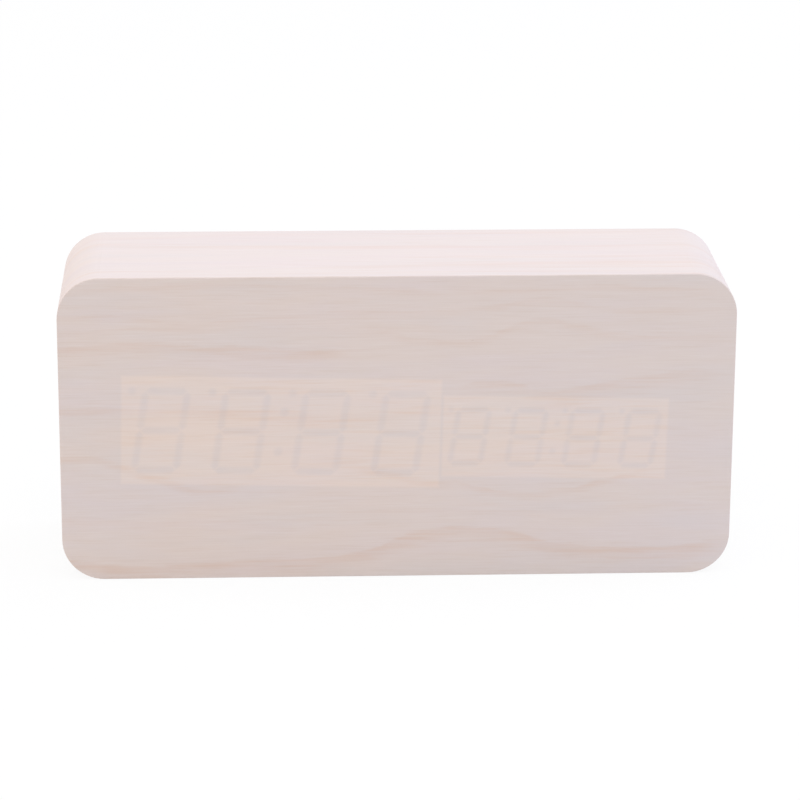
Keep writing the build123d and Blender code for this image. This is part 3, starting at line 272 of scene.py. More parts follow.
def front_veneer_material():
    """Whitewashed maple over the displays: the LED faces show as warm windows, their segments as grey."""
    material, node, place_mm = new_material("whitewashed_maple_front")
    fibre, cloud = (9, 9, 0.35), (38, 38, 7)
    colour, fibres = maple_grain(node, place_mm, wash_over_white, fibre, cloud)
    split = node("ShaderNodeSeparateXYZ", {0: place_mm}).node
    across, up = split.outputs["X"], split.outputs["Z"]

    # Growth lines wander by about half a millimetre, and their edges fray along the fibres
    sway_mm, fray_mm = 1.8, 1.6
    sway_place = node("ShaderNodeVectorMath", {0: place_mm, 1: (12, 12, 5)}, operation="DIVIDE")
    sway = node("ShaderNodeTexNoise", {"Vector": sway_place, "Scale": 1.0, "Detail": 3.0})
    fray_place = node("ShaderNodeVectorMath", {0: place_mm, 1: (5, 5, 0.5)}, operation="DIVIDE")
    fray = node("ShaderNodeTexNoise", {"Vector": fray_place, "Scale": 1.0, "Detail": 2.0})
    swayed = node("ShaderNodeMath", {0: sway, 1: sway_mm, 2: up}, operation="MULTIPLY_ADD")
    frayed = node("ShaderNodeMath", {0: fray, 1: fray_mm, 2: swayed}, operation="MULTIPLY_ADD")
    up_mm = node("ShaderNodeMath", {0: frayed, 1: (sway_mm + fray_mm) / 2}, operation="SUBTRACT")
    across_share = node("ShaderNodeMath", {0: across, 1: 1 / case_width_mm, 2: 0.5}, operation="MULTIPLY_ADD")
    # Painted cool light: the front turns cooler towards its right end, as if lit from the right
    painted_cool_light = node("ShaderNodeMapRange", {0: across_share, 1: 0.2, 2: 1.0, 3: 0.0, 4: 0.15}, **soft)
    colour = node("ShaderNodeMix", {0: painted_cool_light, 6: colour, 7: cool_wash_and_painted_light}, **colours)
    lines = 0.0
    for path, fade in front_growth_lines:
        line = growth_streak(node, across_share, up_mm, path, *fade)
        lines = node("ShaderNodeMath", {0: lines, 1: line}, operation="MAXIMUM")
    strand_place = node("ShaderNodeVectorMath", {0: place_mm, 1: (14, 14, 0.7)}, operation="DIVIDE")
    strands = node("ShaderNodeTexNoise", {"Vector": strand_place, "Scale": 1.0, "Detail": 3.0})
    broken = node("ShaderNodeMapRange", {0: strands, 1: 0.32, 2: 0.68, 3: 0.07, 4: 0.29}, **soft)
    tan_share = node("ShaderNodeMapRange", {0: strands, 1: 0.5, 2: 0.75, 3: 0.0, 4: 0.16}, **soft)
    colour = node("ShaderNodeMix", {0: tan_share, 6: colour, 7: tan_fibre}, **colours)
    line_share = node("ShaderNodeMath", {0: lines, 1: broken}, operation="MULTIPLY")
    halo_share = node("ShaderNodeMath", {0: lines, 1: 0.05}, operation="MULTIPLY")
    colour = node("ShaderNodeMix", {0: halo_share, 6: colour, 7: growth_brown}, **colours)
    colour = node("ShaderNodeMix", {0: line_share, 6: colour, 7: growth_tan}, **colours)

    time_digits = {"tall": 18.3, "across": 9.25, "stroke": 1.6, "pitch": 17.75}
    time_points = {"dot": (0.85, 6.455, 9.05), "colon": (0.95, 4.65)}
    date_digits = {"tall": 12.6, "across": 6.75, "stroke": 1.3, "pitch": 12.7}
    date_points = {"dot": (0.55, 4.305, 6.3), "colon": (0.65, 3.25)}
    time_window, time_segment = display_ghost(
        node, place_mm, "time_display_housing", **time_digits, **time_points
    )
    date_window, date_segment = display_ghost(
        node, place_mm, "date_display_housing", **date_digits, **date_points
    )
    windows = node("ShaderNodeMath", {0: time_window, 1: date_window}, operation="MAXIMUM")
    sharp_segments = node("ShaderNodeMath", {0: time_segment, 1: date_segment}, operation="MAXIMUM")
    # Where the veneer stands off the display a segment is fainter
    contact_place = node("ShaderNodeVectorMath", {0: place_mm, 1: (7, 7, 4)}, operation="DIVIDE")
    contact = node("ShaderNodeTexNoise", {"Vector": contact_place, "Scale": 1.0, "Detail": 3.0})
    touch = node("ShaderNodeMapRange", {0: contact, 1: 0.35, 2: 0.65, 3: 0.75, 4: 1.05}, **soft)
    segments = node("ShaderNodeMath", {0: sharp_segments, 1: touch}, operation="MULTIPLY")

    # Against a white face the veneer is seen through, so its fibres stand out more
    clear_fibres = node("ShaderNodeMapRange", {0: strands, 1: 0.45, 2: 0.75, 3: 0.0, 4: 0.14}, **soft)
    clear_share = node("ShaderNodeMath", {0: clear_fibres, 1: windows}, operation="MULTIPLY")
    colour = node("ShaderNodeMix", {0: clear_share, 6: colour, 7: clear_fibre}, **colours)
    core_share = node("ShaderNodeMath", {0: 1.0, 1: windows}, operation="SUBTRACT")
    dark_share = node("ShaderNodeMath", {0: core_share, 1: segments}, operation="MAXIMUM")
    over_dark = {0: dark_share, 6: colour, 7: wash_over_dark}
    colour = node("ShaderNodeMix", over_dark, blend_type="MULTIPLY", **colours)

    # A few open pores: short dark dashes, drawn about 0.4 mm wide so that they show
    pore_place = node("ShaderNodeVectorMath", {0: place_mm, 1: (1.6, 1.6, 0.5)}, operation="DIVIDE")
    pores = node("ShaderNodeTexNoise", {"Vector": pore_place, "Scale": 1.0, "Detail": 0.0})
    pore_share = node("ShaderNodeMapRange", {0: pores, 1: 0.93, 2: 0.96, 3: 0.0, 4: 0.4}, **soft)
    colour = node("ShaderNodeMix", {0: pore_share, 6: colour, 7: pore_brown}, **colours)

    satin_wash(node, colour, fibres)
    return material


def wrap_veneer_material():
    """The same maple wrapped round the case: its fibres run along the top and round the corners. Its colour
    is painted cooler and lighter than the front's, as skylight on the top.
    """
    material, node, place_mm = new_material("whitewashed_maple_wrap")
    # Round the case the fibres are fine along y, and on the rear rim, cut from flat sheet, along z
    facing = node("ShaderNodeNewGeometry", out="Normal")
    rearwards = node("ShaderNodeSeparateXYZ", {0: facing}, out="Y")
    rim = node("ShaderNodeMapRange", {0: rearwards, 1: 0.6, 2: 0.7})
    fibre = node("ShaderNodeMix", {0: rim, 4: (14, 0.35, 14), 5: (14, 14, 0.35)}, out=1, data_type="VECTOR")
    cloud = node("ShaderNodeMix", {0: rim, 4: (60, 5, 60), 5: (40, 40, 5)}, out=1, data_type="VECTOR")
    band = node("ShaderNodeMix", {0: rim, 4: (90, 3.5, 90), 5: (60, 60, 2.5)}, out=1, data_type="VECTOR")
    # The base colour holds painted skylight: cooler and lighter than the front's
    colour, fibres = maple_grain(node, place_mm, wash_with_painted_skylight, fibre, cloud)
    band_place = node("ShaderNodeVectorMath", {0: place_mm, 1: band}, operation="DIVIDE")
    bands = node("ShaderNodeTexNoise", {"Vector": band_place, "Scale": 1.0, "Detail": 4.0})
    band_share = node("ShaderNodeMapRange", {0: bands, 1: 0.52, 2: 0.72, 3: 0.0, 4: 0.14}, **soft)
    colour = node("ShaderNodeMix", {0: band_share, 6: colour, 7: growth_tan}, **colours)
    satin_wash(node, colour, fibres)
    return material


def fibreboard_material():
    """Routed medium-density fibreboard: tan, matt, with a fine felt of short fibres."""
    material, node, place_mm = new_material("fibreboard")
    fleck_mm, patch_mm = 0.8, 12
    flecks = node("ShaderNodeTexNoise", {"Vector": place_mm, "Scale": 1 / fleck_mm, "Detail": 4.0})
    patches = node("ShaderNodeTexNoise", {"Vector": place_mm, "Scale": 1 / patch_mm, "Detail": 2.0})
    fleck_share = node("ShaderNodeMapRange", {0: flecks, 1: 0.4, 2: 0.75}, **soft)
    patch_share = node("ShaderNodeMapRange", {0: patches, 1: 0.4, 2: 0.7, 3: 0.0, 4: 0.5}, **soft)
    colour = node("ShaderNodeMix", {0: fleck_share, 6: linear("B08D67"), 7: linear("8F6E4B")}, **colours)
    colour = node("ShaderNodeMix", {0: patch_share, 6: colour, 7: linear("C2A07A")}, **colours)
    normal = node("ShaderNodeBump", {"Strength": 0.4, "Distance": 0.1 * mm, "Height": flecks})
    surface = node("ShaderNodeBsdfPrincipled", {"Base Color": colour, "Roughness": 0.9, "Normal": normal})
    node("ShaderNodeOutputMaterial", {"Surface": surface})
    return material


def moulded_material(name, body, paler_tone, grain_mm, roughness, bump, mark=None):
    """Injection-moulded plastic: one colour through, a fine spark-eroded or smooth skin, slight flow marks.
    The colour is drawn paler in the flow marks and where the skin's grain stands up.

    A mark is a second colour for what stands behind a plane, such as a printed symbol: (colour, y in mm).
    """
    material, node, place_mm = new_material(name)
    skin = node("ShaderNodeTexNoise", {"Vector": place_mm, "Scale": 1 / grain_mm, "Detail": 2.0})
    flow_mm = 18
    flow = node("ShaderNodeTexNoise", {"Vector": place_mm, "Scale": 1 / flow_mm, "Detail": 3.0})
    flow_share = node("ShaderNodeMapRange", {0: flow, 1: 0.35, 2: 0.75, 3: 0.0, 4: 0.3}, **soft)
    # Paler in the flow marks and where the skin's grain stands up
    skin_share = node("ShaderNodeMapRange", {0: skin, 1: 0.45, 2: 0.75, 3: 0.0, 4: 0.6}, **soft)
    colour = node("ShaderNodeMix", {0: flow_share, 6: linear(body), 7: linear(paler_tone)}, **colours)
    colour = node("ShaderNodeMix", {0: skin_share, 6: colour, 7: linear(paler_tone)}, **colours)
    if mark:
        mark_colour, mark_y = mark
        rear = node("ShaderNodeSeparateXYZ", {0: place_mm}, out="Y")
        edge = 0.02
        printed = node("ShaderNodeMapRange", {0: rear, 1: mark_y - edge, 2: mark_y + edge}, **soft)
        colour = node("ShaderNodeMix", {0: printed, 6: colour, 7: linear(mark_colour)}, **colours)
    normal = node("ShaderNodeBump", {"Strength": bump, "Distance": 0.1 * mm, "Height": skin})
    gloss = node("ShaderNodeMapRange", {0: flow, 1: 0.3, 2: 0.7, 3: roughness - 0.06, 4: roughness + 0.06})
    looks = {"Base Color": colour, "Roughness": gloss, "IOR": 1.53, "Normal": normal}
    surface = node("ShaderNodeBsdfPrincipled", looks)
    node("ShaderNodeOutputMaterial", {"Surface": surface})
    return material


def plated_material(name, bright, dull, roughness, streak_mm, recess=None):
    """Plated or bare metal: bright, with drawn or rolled streaks and a few duller clouds.

    Recess is a darker colour painted inside a screw's cross, where the mesh marks it: painted shade, with
    duller plating there.
    """
    material, node, place_mm = new_material(name)
    streak_place = node("ShaderNodeVectorMath", {0: place_mm, 1: streak_mm}, operation="DIVIDE")
    streaks = node("ShaderNodeTexNoise", {"Vector": streak_place, "Scale": 1.0, "Detail": 3.0})
    cloud_mm = 4
    clouds = node("ShaderNodeTexNoise", {"Vector": place_mm, "Scale": 1 / cloud_mm, "Detail": 3.0})
    dull_share = node("ShaderNodeMapRange", {0: clouds, 1: 0.35, 2: 0.75, 3: 0.0, 4: 0.8}, **soft)
    colour = node("ShaderNodeMix", {0: dull_share, 6: linear(bright), 7: linear(dull)}, **colours)
    if recess:
        # Painted shade inside the screw's cross recess
        inside = node("ShaderNodeAttribute", out="Fac", attribute_name="recess")
        colour = node("ShaderNodeMix", {0: inside, 6: colour, 7: linear(recess)}, **colours)
    normal = node("ShaderNodeBump", {"Strength": 0.1, "Distance": 0.02 * mm, "Height": streaks})
    gloss = node("ShaderNodeMapRange", {0: streaks, 1: 0.3, 2: 0.7, 3: roughness - 0.08, 4: roughness + 0.1})
    looks = {"Base Color": colour, "Metallic": 1.0, "Roughness": gloss, "Normal": normal}
    surface = node("ShaderNodeBsdfPrincipled", looks)
    node("ShaderNodeOutputMaterial", {"Surface": surface})
    return material


def circuit_board_material():
    """Glass-fibre board under green solder mask: glossy, with darker copper runs just showing."""
    material, node, place_mm = new_material("glass_fibre_circuit_board")
    run_mm, cloth_mm = 2.5, 0.5
    runs = node("ShaderNodeTexVoronoi", {"Vector": place_mm, "Scale": 1 / run_mm}, distance="MANHATTAN")
    cloth = node("ShaderNodeTexNoise", {"Vector": place_mm, "Scale": 1 / cloth_mm, "Detail": 1.0})
    run_share = node("ShaderNodeMapRange", {0: runs, 1: 0.3, 2: 0.5}, **soft)
    cloth_share = node("ShaderNodeMapRange", {0: cloth, 1: 0.5, 2: 0.8, 3: 0.0, 4: 0.4}, **soft)
    colour = node("ShaderNodeMix", {0: run_share, 6: linear("1F6B45"), 7: linear("17553A")}, **colours)
    colour = node("ShaderNodeMix", {0: cloth_share, 6: colour, 7: linear("2C7C52")}, **colours)
    normal = node("ShaderNodeBump", {"Strength": 0.2, "Distance": 0.03 * mm, "Height": runs})
    looks = {"Base Color": colour, "Roughness": 0.32, "IOR": 1.55, "Normal": normal}
    surface = node("ShaderNodeBsdfPrincipled", looks)
    node("ShaderNodeOutputMaterial", {"Surface": surface})
    return material


def chip_material(name, chip, leg_reach_mm):
    """Black moulded epoxy with tinned legs along its two long sides."""
    material, node, place_mm = new_material(name)
    low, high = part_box(chip)
    middle, half = (low.z + high.z) / 2 / mm, (high.z - low.z) / 2 / mm
    up = node("ShaderNodeSeparateXYZ", {0: place_mm}, out="Z")
    offset = node("ShaderNodeMath", {0: up, 1: middle}, operation="SUBTRACT")
    reach = node("ShaderNodeMath", {0: offset}, operation="ABSOLUTE")
    leg_start, edge = half - leg_reach_mm, 0.05
    legs = node("ShaderNodeMapRange", {0: reach, 1: leg_start, 2: leg_start + edge}, **soft)
    skin_mm = 0.25
    skin = node("ShaderNodeTexNoise", {"Vector": place_mm, "Scale": 1 / skin_mm, "Detail": 2.0})
    skin_share = node("ShaderNodeMapRange", {0: skin, 1: 0.4, 2: 0.8}, **soft)
    colour = node("ShaderNodeMix", {0: skin_share, 6: linear("1A1A1B"), 7: linear("2B2B2D")}, **colours)
    colour = node("ShaderNodeMix", {0: legs, 6: colour, 7: linear("C9CACB")}, **colours)
    normal = node("ShaderNodeBump", {"Strength": 0.2, "Distance": 0.02 * mm, "Height": skin})
    gloss = node("ShaderNodeMapRange", {0: legs, 1: 0.0, 2: 1.0, 3: 0.6, 4: 0.3})
    looks = {"Base Color": colour, "Metallic": legs, "Roughness": gloss, "Normal": normal}
    surface = node("ShaderNodeBsdfPrincipled", looks)
    node("ShaderNodeOutputMaterial", {"Surface": surface})
    return material


def cell_material(name, cell, towards):
    """A cell in its printed film sleeve: glossy grey-green, with bare steel ends.

    A pale band and a plus mark stand at the positive end, which is the one that towards points to.
    """
    material, node, place_mm = new_material(name)
    low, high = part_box(cell)
    length = (high.x - low.x) / mm
    start = (low.x if towards > 0 else high.x) / mm
    axis_y, axis_z = (low.y + high.y) / 2 / mm, (low.z + high.z) / 2 / mm
    pale_band, ring_back, mark_back = 12, 1.2, 6.5
    ring_half, plus_half, arm_half, print_edge = 0.3, 1.9, 0.4, 0.1
    bare_tip, bare_base, bare_edge = 1.45, 0.3, 0.05
    band_start = length - pale_band
    split = node("ShaderNodeSeparateXYZ", {0: place_mm}).node
    across, rear, up = split.outputs["X"], split.outputs["Y"], split.outputs["Z"]
    along = node("ShaderNodeMath", {0: across, 1: towards, 2: -start * towards}, operation="MULTIPLY_ADD")
    film_place = node("ShaderNodeVectorMath", {0: place_mm, 1: (30, 5, 5)}, operation="DIVIDE")
    film = node("ShaderNodeTexNoise", {"Vector": film_place, "Scale": 1.0, "Detail": 3.0})
    film_share = node("ShaderNodeMapRange", {0: film, 1: 0.35, 2: 0.75}, **soft)
    colour = node("ShaderNodeMix", {0: film_share, 6: linear("586F69"), 7: linear("5F7871")}, **colours)
    print_white = linear("D9DAD4")
    band = node("ShaderNodeMapRange", {0: along, 1: band_start, 2: band_start + print_edge}, **soft)
    colour = node("ShaderNodeMix", {0: band, 6: colour, 7: print_white}, **colours)
    ring_gap = node("ShaderNodeMath", {0: along, 1: band_start - ring_back}, operation="SUBTRACT")
    ring_reach = node("ShaderNodeMath", {0: ring_gap}, operation="ABSOLUTE")
    ring_edge = {0: ring_reach, 1: ring_half, 2: ring_half + print_edge, 3: 1.0, 4: 0.0}
    ring = node("ShaderNodeMapRange", ring_edge, **soft)
    colour = node("ShaderNodeMix", {0: ring, 6: colour, 7: print_white}, **colours)
    mark_across = node("ShaderNodeMath", {0: along, 1: length - mark_back}, operation="SUBTRACT")
    mark_side = node("ShaderNodeMath", {0: mark_across}, operation="ABSOLUTE")
    mark_up = node("ShaderNodeMath", {0: up, 1: axis_z}, operation="SUBTRACT")
    mark_rise = node("ShaderNodeMath", {0: mark_up}, operation="ABSOLUTE")
    mark_long = node("ShaderNodeMath", {0: mark_side, 1: mark_rise}, operation="MAXIMUM")
    mark_thin = node("ShaderNodeMath", {0: mark_side, 1: mark_rise}, operation="MINIMUM")
    plus_end = {0: mark_long, 1: plus_half, 2: plus_half + print_edge, 3: 1.0, 4: 0.0}
    arm_side = {0: mark_thin, 1: arm_half, 2: arm_half + print_edge, 3: 1.0, 4: 0.0}
    inside = node("ShaderNodeMapRange", plus_end, **soft)
    arm = node("ShaderNodeMapRange", arm_side, **soft)
    facing = node("ShaderNodeMapRange", {0: rear, 1: axis_y, 2: axis_y + print_edge}, **soft)
    cross = node("ShaderNodeMath", {0: inside, 1: arm}, operation="MULTIPLY")
    plus = node("ShaderNodeMath", {0: cross, 1: facing}, operation="MULTIPLY")
    colour = node("ShaderNodeMix", {0: plus, 6: colour, 7: linear("3A4A46")}, **colours)
    tip_start = length - bare_tip
    tip = node("ShaderNodeMapRange", {0: along, 1: tip_start, 2: tip_start + bare_edge}, **soft)
    base_end = {0: along, 1: bare_base, 2: bare_base + bare_edge, 3: 1.0, 4: 0.0}
    base = node("ShaderNodeMapRange", base_end, **soft)
    bare = node("ShaderNodeMath", {0: tip, 1: base}, operation="MAXIMUM")
    colour = node("ShaderNodeMix", {0: bare, 6: colour, 7: linear("C6C4BF")}, **colours)
    gloss = node("ShaderNodeMapRange", {0: film, 1: 0.3, 2: 0.7, 3: 0.22, 4: 0.34})
    looks = {"Base Color": colour, "Metallic": bare, "Roughness": gloss}
    gloss_coat = {"Coat Weight": 0.3, "Coat Roughness": 0.15}
    surface = node("ShaderNodeBsdfPrincipled", looks | gloss_coat)
    node("ShaderNodeOutputMaterial", {"Surface": surface})
    return material


def insulation_material(name, body, shade):
    """Soft vinyl wire insulation: satin, a little uneven in colour where it was bent."""
    material, node, place_mm = new_material(name)
    bend_mm, skin_mm = 3, 0.3
    bends = node("ShaderNodeTexNoise", {"Vector": place_mm, "Scale": 1 / bend_mm, "Detail": 3.0})
    skin = node("ShaderNodeTexNoise", {"Vector": place_mm, "Scale": 1 / skin_mm, "Detail": 1.0})
    bend_share = node("ShaderNodeMapRange", {0: bends, 1: 0.3, 2: 0.8}, **soft)
    colour = node("ShaderNodeMix", {0: bend_share, 6: linear(body), 7: linear(shade)}, **colours)
    normal = node("ShaderNodeBump", {"Strength": 0.15, "Distance": 0.02 * mm, "Height": skin})
    gloss = node("ShaderNodeMapRange", {0: bends, 1: 0.3, 2: 0.7, 3: 0.38, 4: 0.5})
    surface = node("ShaderNodeBsdfPrincipled", {"Base Color": colour, "Roughness": gloss, "Normal": normal})
    node("ShaderNodeOutputMaterial", {"Surface": surface})
    return material


def capsule_material():
    """A microphone: a drawn aluminium can with a disc of black felt in its mouth."""
    material, node, place_mm = new_material("aluminium_capsule_with_felt")
    low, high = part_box("microphone")
    centre = ((low.x + high.x) / 2 / mm, 0, (low.z + high.z) / 2 / mm)
    felt_depth, felt_radius, felt_edge, mouth_edge = 0.4, 2.3, 0.02, 0.05
    mouth_y = high.y / mm - felt_depth
    offset = node("ShaderNodeVectorMath", {0: place_mm, 1: centre}, operation="SUBTRACT")
    flat = node("ShaderNodeVectorMath", {0: offset, 1: (1, 0, 1)}, operation="MULTIPLY")
    radius = node("ShaderNodeVectorMath", {0: flat}, out="Value", operation="LENGTH")
    rear = node("ShaderNodeSeparateXYZ", {0: place_mm}, out="Y")
    rim = {0: radius, 1: felt_radius - felt_edge, 2: felt_radius + felt_edge, 3: 1.0, 4: 0.0}
    within = node("ShaderNodeMapRange", rim, **soft)
    mouth = node("ShaderNodeMapRange", {0: rear, 1: mouth_y, 2: mouth_y + mouth_edge}, **soft)
    felt = node("ShaderNodeMath", {0: within, 1: mouth}, operation="MULTIPLY")
    fuzz_mm = 0.2
    fuzz = node("ShaderNodeTexNoise", {"Vector": place_mm, "Scale": 1 / fuzz_mm, "Detail": 3.0})
    fuzz_share = node("ShaderNodeMapRange", {0: fuzz, 1: 0.4, 2: 0.7}, **soft)
    dark = node("ShaderNodeMix", {0: fuzz_share, 6: linear("151516"), 7: linear("2A2A2C")}, **colours)
    colour = node("ShaderNodeMix", {0: felt, 6: linear("C9CCD0"), 7: dark}, **colours)
    can = node("ShaderNodeMath", {0: 1.0, 1: felt}, operation="SUBTRACT")
    gloss = node("ShaderNodeMapRange", {0: felt, 1: 0.0, 2: 1.0, 3: 0.3, 4: 0.95})
    surface = node("ShaderNodeBsdfPrincipled", {"Base Color": colour, "Metallic": can, "Roughness": gloss})
    node("ShaderNodeOutputMaterial", {"Surface": surface})
    return material


# Metals: bluish zinc on screws, warm nickel on springs, soft tin on pins, cool steel and yellow brass
# The zinc's last colour is painted shade inside the screws' cross recesses
zinc = plated_material("zinc_plated_steel", "C4C7CA", "A6A9AD", 0.3, (0.2, 0.2, 0.2), "6A6C6F")
nickel = plated_material("nickel_plated_spring_steel", "CFCBC3", "B2ADA4", 0.26, (0.15, 0.15, 1.5))
tin = plated_material("tinned_copper", "CBCCCD", "A9ABAD", 0.34, (0.2, 1.0, 0.2))
steel = plated_material("stainless_steel", "CDCFD2", "B4B7BB", 0.28, (2.0, 0.15, 0.15))
brass = plated_material("turned_brass", "D6B46A", "B8934B", 0.28, (0.2, 0.6, 0.2))
# Plastics: matt blacks and greys behind, milky white and grey in the displays.
# The panel's spark texture is drawn about twice its real size, so that it shows.
panel_black = moulded_material("spark_textured_black_abs", "171718", "3A3A3C", 0.5, 0.5, 0.9)
button_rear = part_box("set_button")[1].y / mm
symbol_height, face_clearance = 0.25, 0.05
symbol_white = ("D8D9DA", button_rear - symbol_height + face_clearance)
button_grey = moulded_material("grey_abs_button", "46484B", "55575A", 0.35, 0.4, 0.2, symbol_white)
switch_black = moulded_material("glass_filled_nylon_black", "202122", "303133", 0.3, 0.55, 0.3)
plunger_tan = moulded_material("acetal_tan", "BFA98A", "D0BD9F", 0.4, 0.35, 0.1)
holder_black = moulded_material("polyester_holder_black", "232426", "343538", 0.3, 0.45, 0.2)
buzzer_black = moulded_material("polyphenylene_black", "18191A", "28292A", 0.3, 0.38, 0.15)
jack_black = moulded_material("nylon_jack_black", "1E1E20", "2E2F31", 0.3, 0.42, 0.2)
bead_resin = moulded_material("dipped_epoxy_dark_green", "23372B", "2F4838", 0.6, 0.3, 0.1)
sleeve_blue = moulded_material("shrink_sleeve_dark_blue", "1F2C4D", "2B3A61", 0.8, 0.35, 0.1)
housing_white = moulded_material("polycarbonate_white", "E9E4DC", "DDD7CD", 0.3, 0.45, 0.15)
segment_resin = moulded_material("cast_epoxy_milky_grey", "B9BAB8", "A8AAA9", 0.5, 0.3, 0.1)
board_green = circuit_board_material()

finishes = {
    "front_veneer": front_veneer_material(),
    "wrap_veneer": wrap_veneer_material(),
    "case_core": fibreboard_material(),
    "rear_panel": panel_black,
    "battery_door": panel_black,
    "battery_door_latch": panel_black,
    "rear_panel_screws": zinc,
    "display_board_screws": zinc,
    "control_board_screws": zinc,
    "time_display_housing": housing_white,
    "date_display_housing": housing_white,
    "time_display_segments": segment_resin,
    "date_display_segments": segment_resin,
    "time_display_pins": tin,
    "date_display_pins": tin,
    "display_board": board_green,
    "control_board": board_green,
    "led_driver_chip": chip_material("chip_epoxy_driver", "led_driver_chip", 1.2),
    "controller_chip": chip_material("chip_epoxy_controller", "controller_chip", 1.05),
    "battery_contacts": nickel,
    "battery_springs": nickel,
    "battery_lead_red": insulation_material("vinyl_insulation_red", "B3262A", "94191F"),
    "battery_lead_black": insulation_material("vinyl_insulation_black", "1E1E1F", "2C2C2D"),
    "board_cable": insulation_material("vinyl_ribbon_grey", "9EA3A8", "868C92"),
    "alarm_buzzer": buzzer_black,
    "microphone": capsule_material(),
    "temperature_sensor": bead_resin,
    "filter_capacitor": sleeve_blue,
    "clock_crystal": steel,
    "backup_coin_cell": steel,
    "coin_cell_clip": nickel,
    "coin_cell_holder": holder_black,
    "dc_jack_body": jack_black,
    "dc_jack_pin": brass,
}
for key in ("set", "up", "down"):
    finishes[f"{key}_button"] = button_grey
    finishes[f"{key}_switch_body"] = switch_black
    finishes[f"{key}_switch_plunger"] = plunger_tan
for number in (1, 2, 3, 4):
    cell = f"battery_cell_{number}"
    towards = 1 if number % 2 else -1
    finishes[cell] = cell_material(f"printed_cell_sleeve_{number}", cell, towards)
for piece, finish in finishes.items():
    nodes[piece].material_slots[0].material = finish


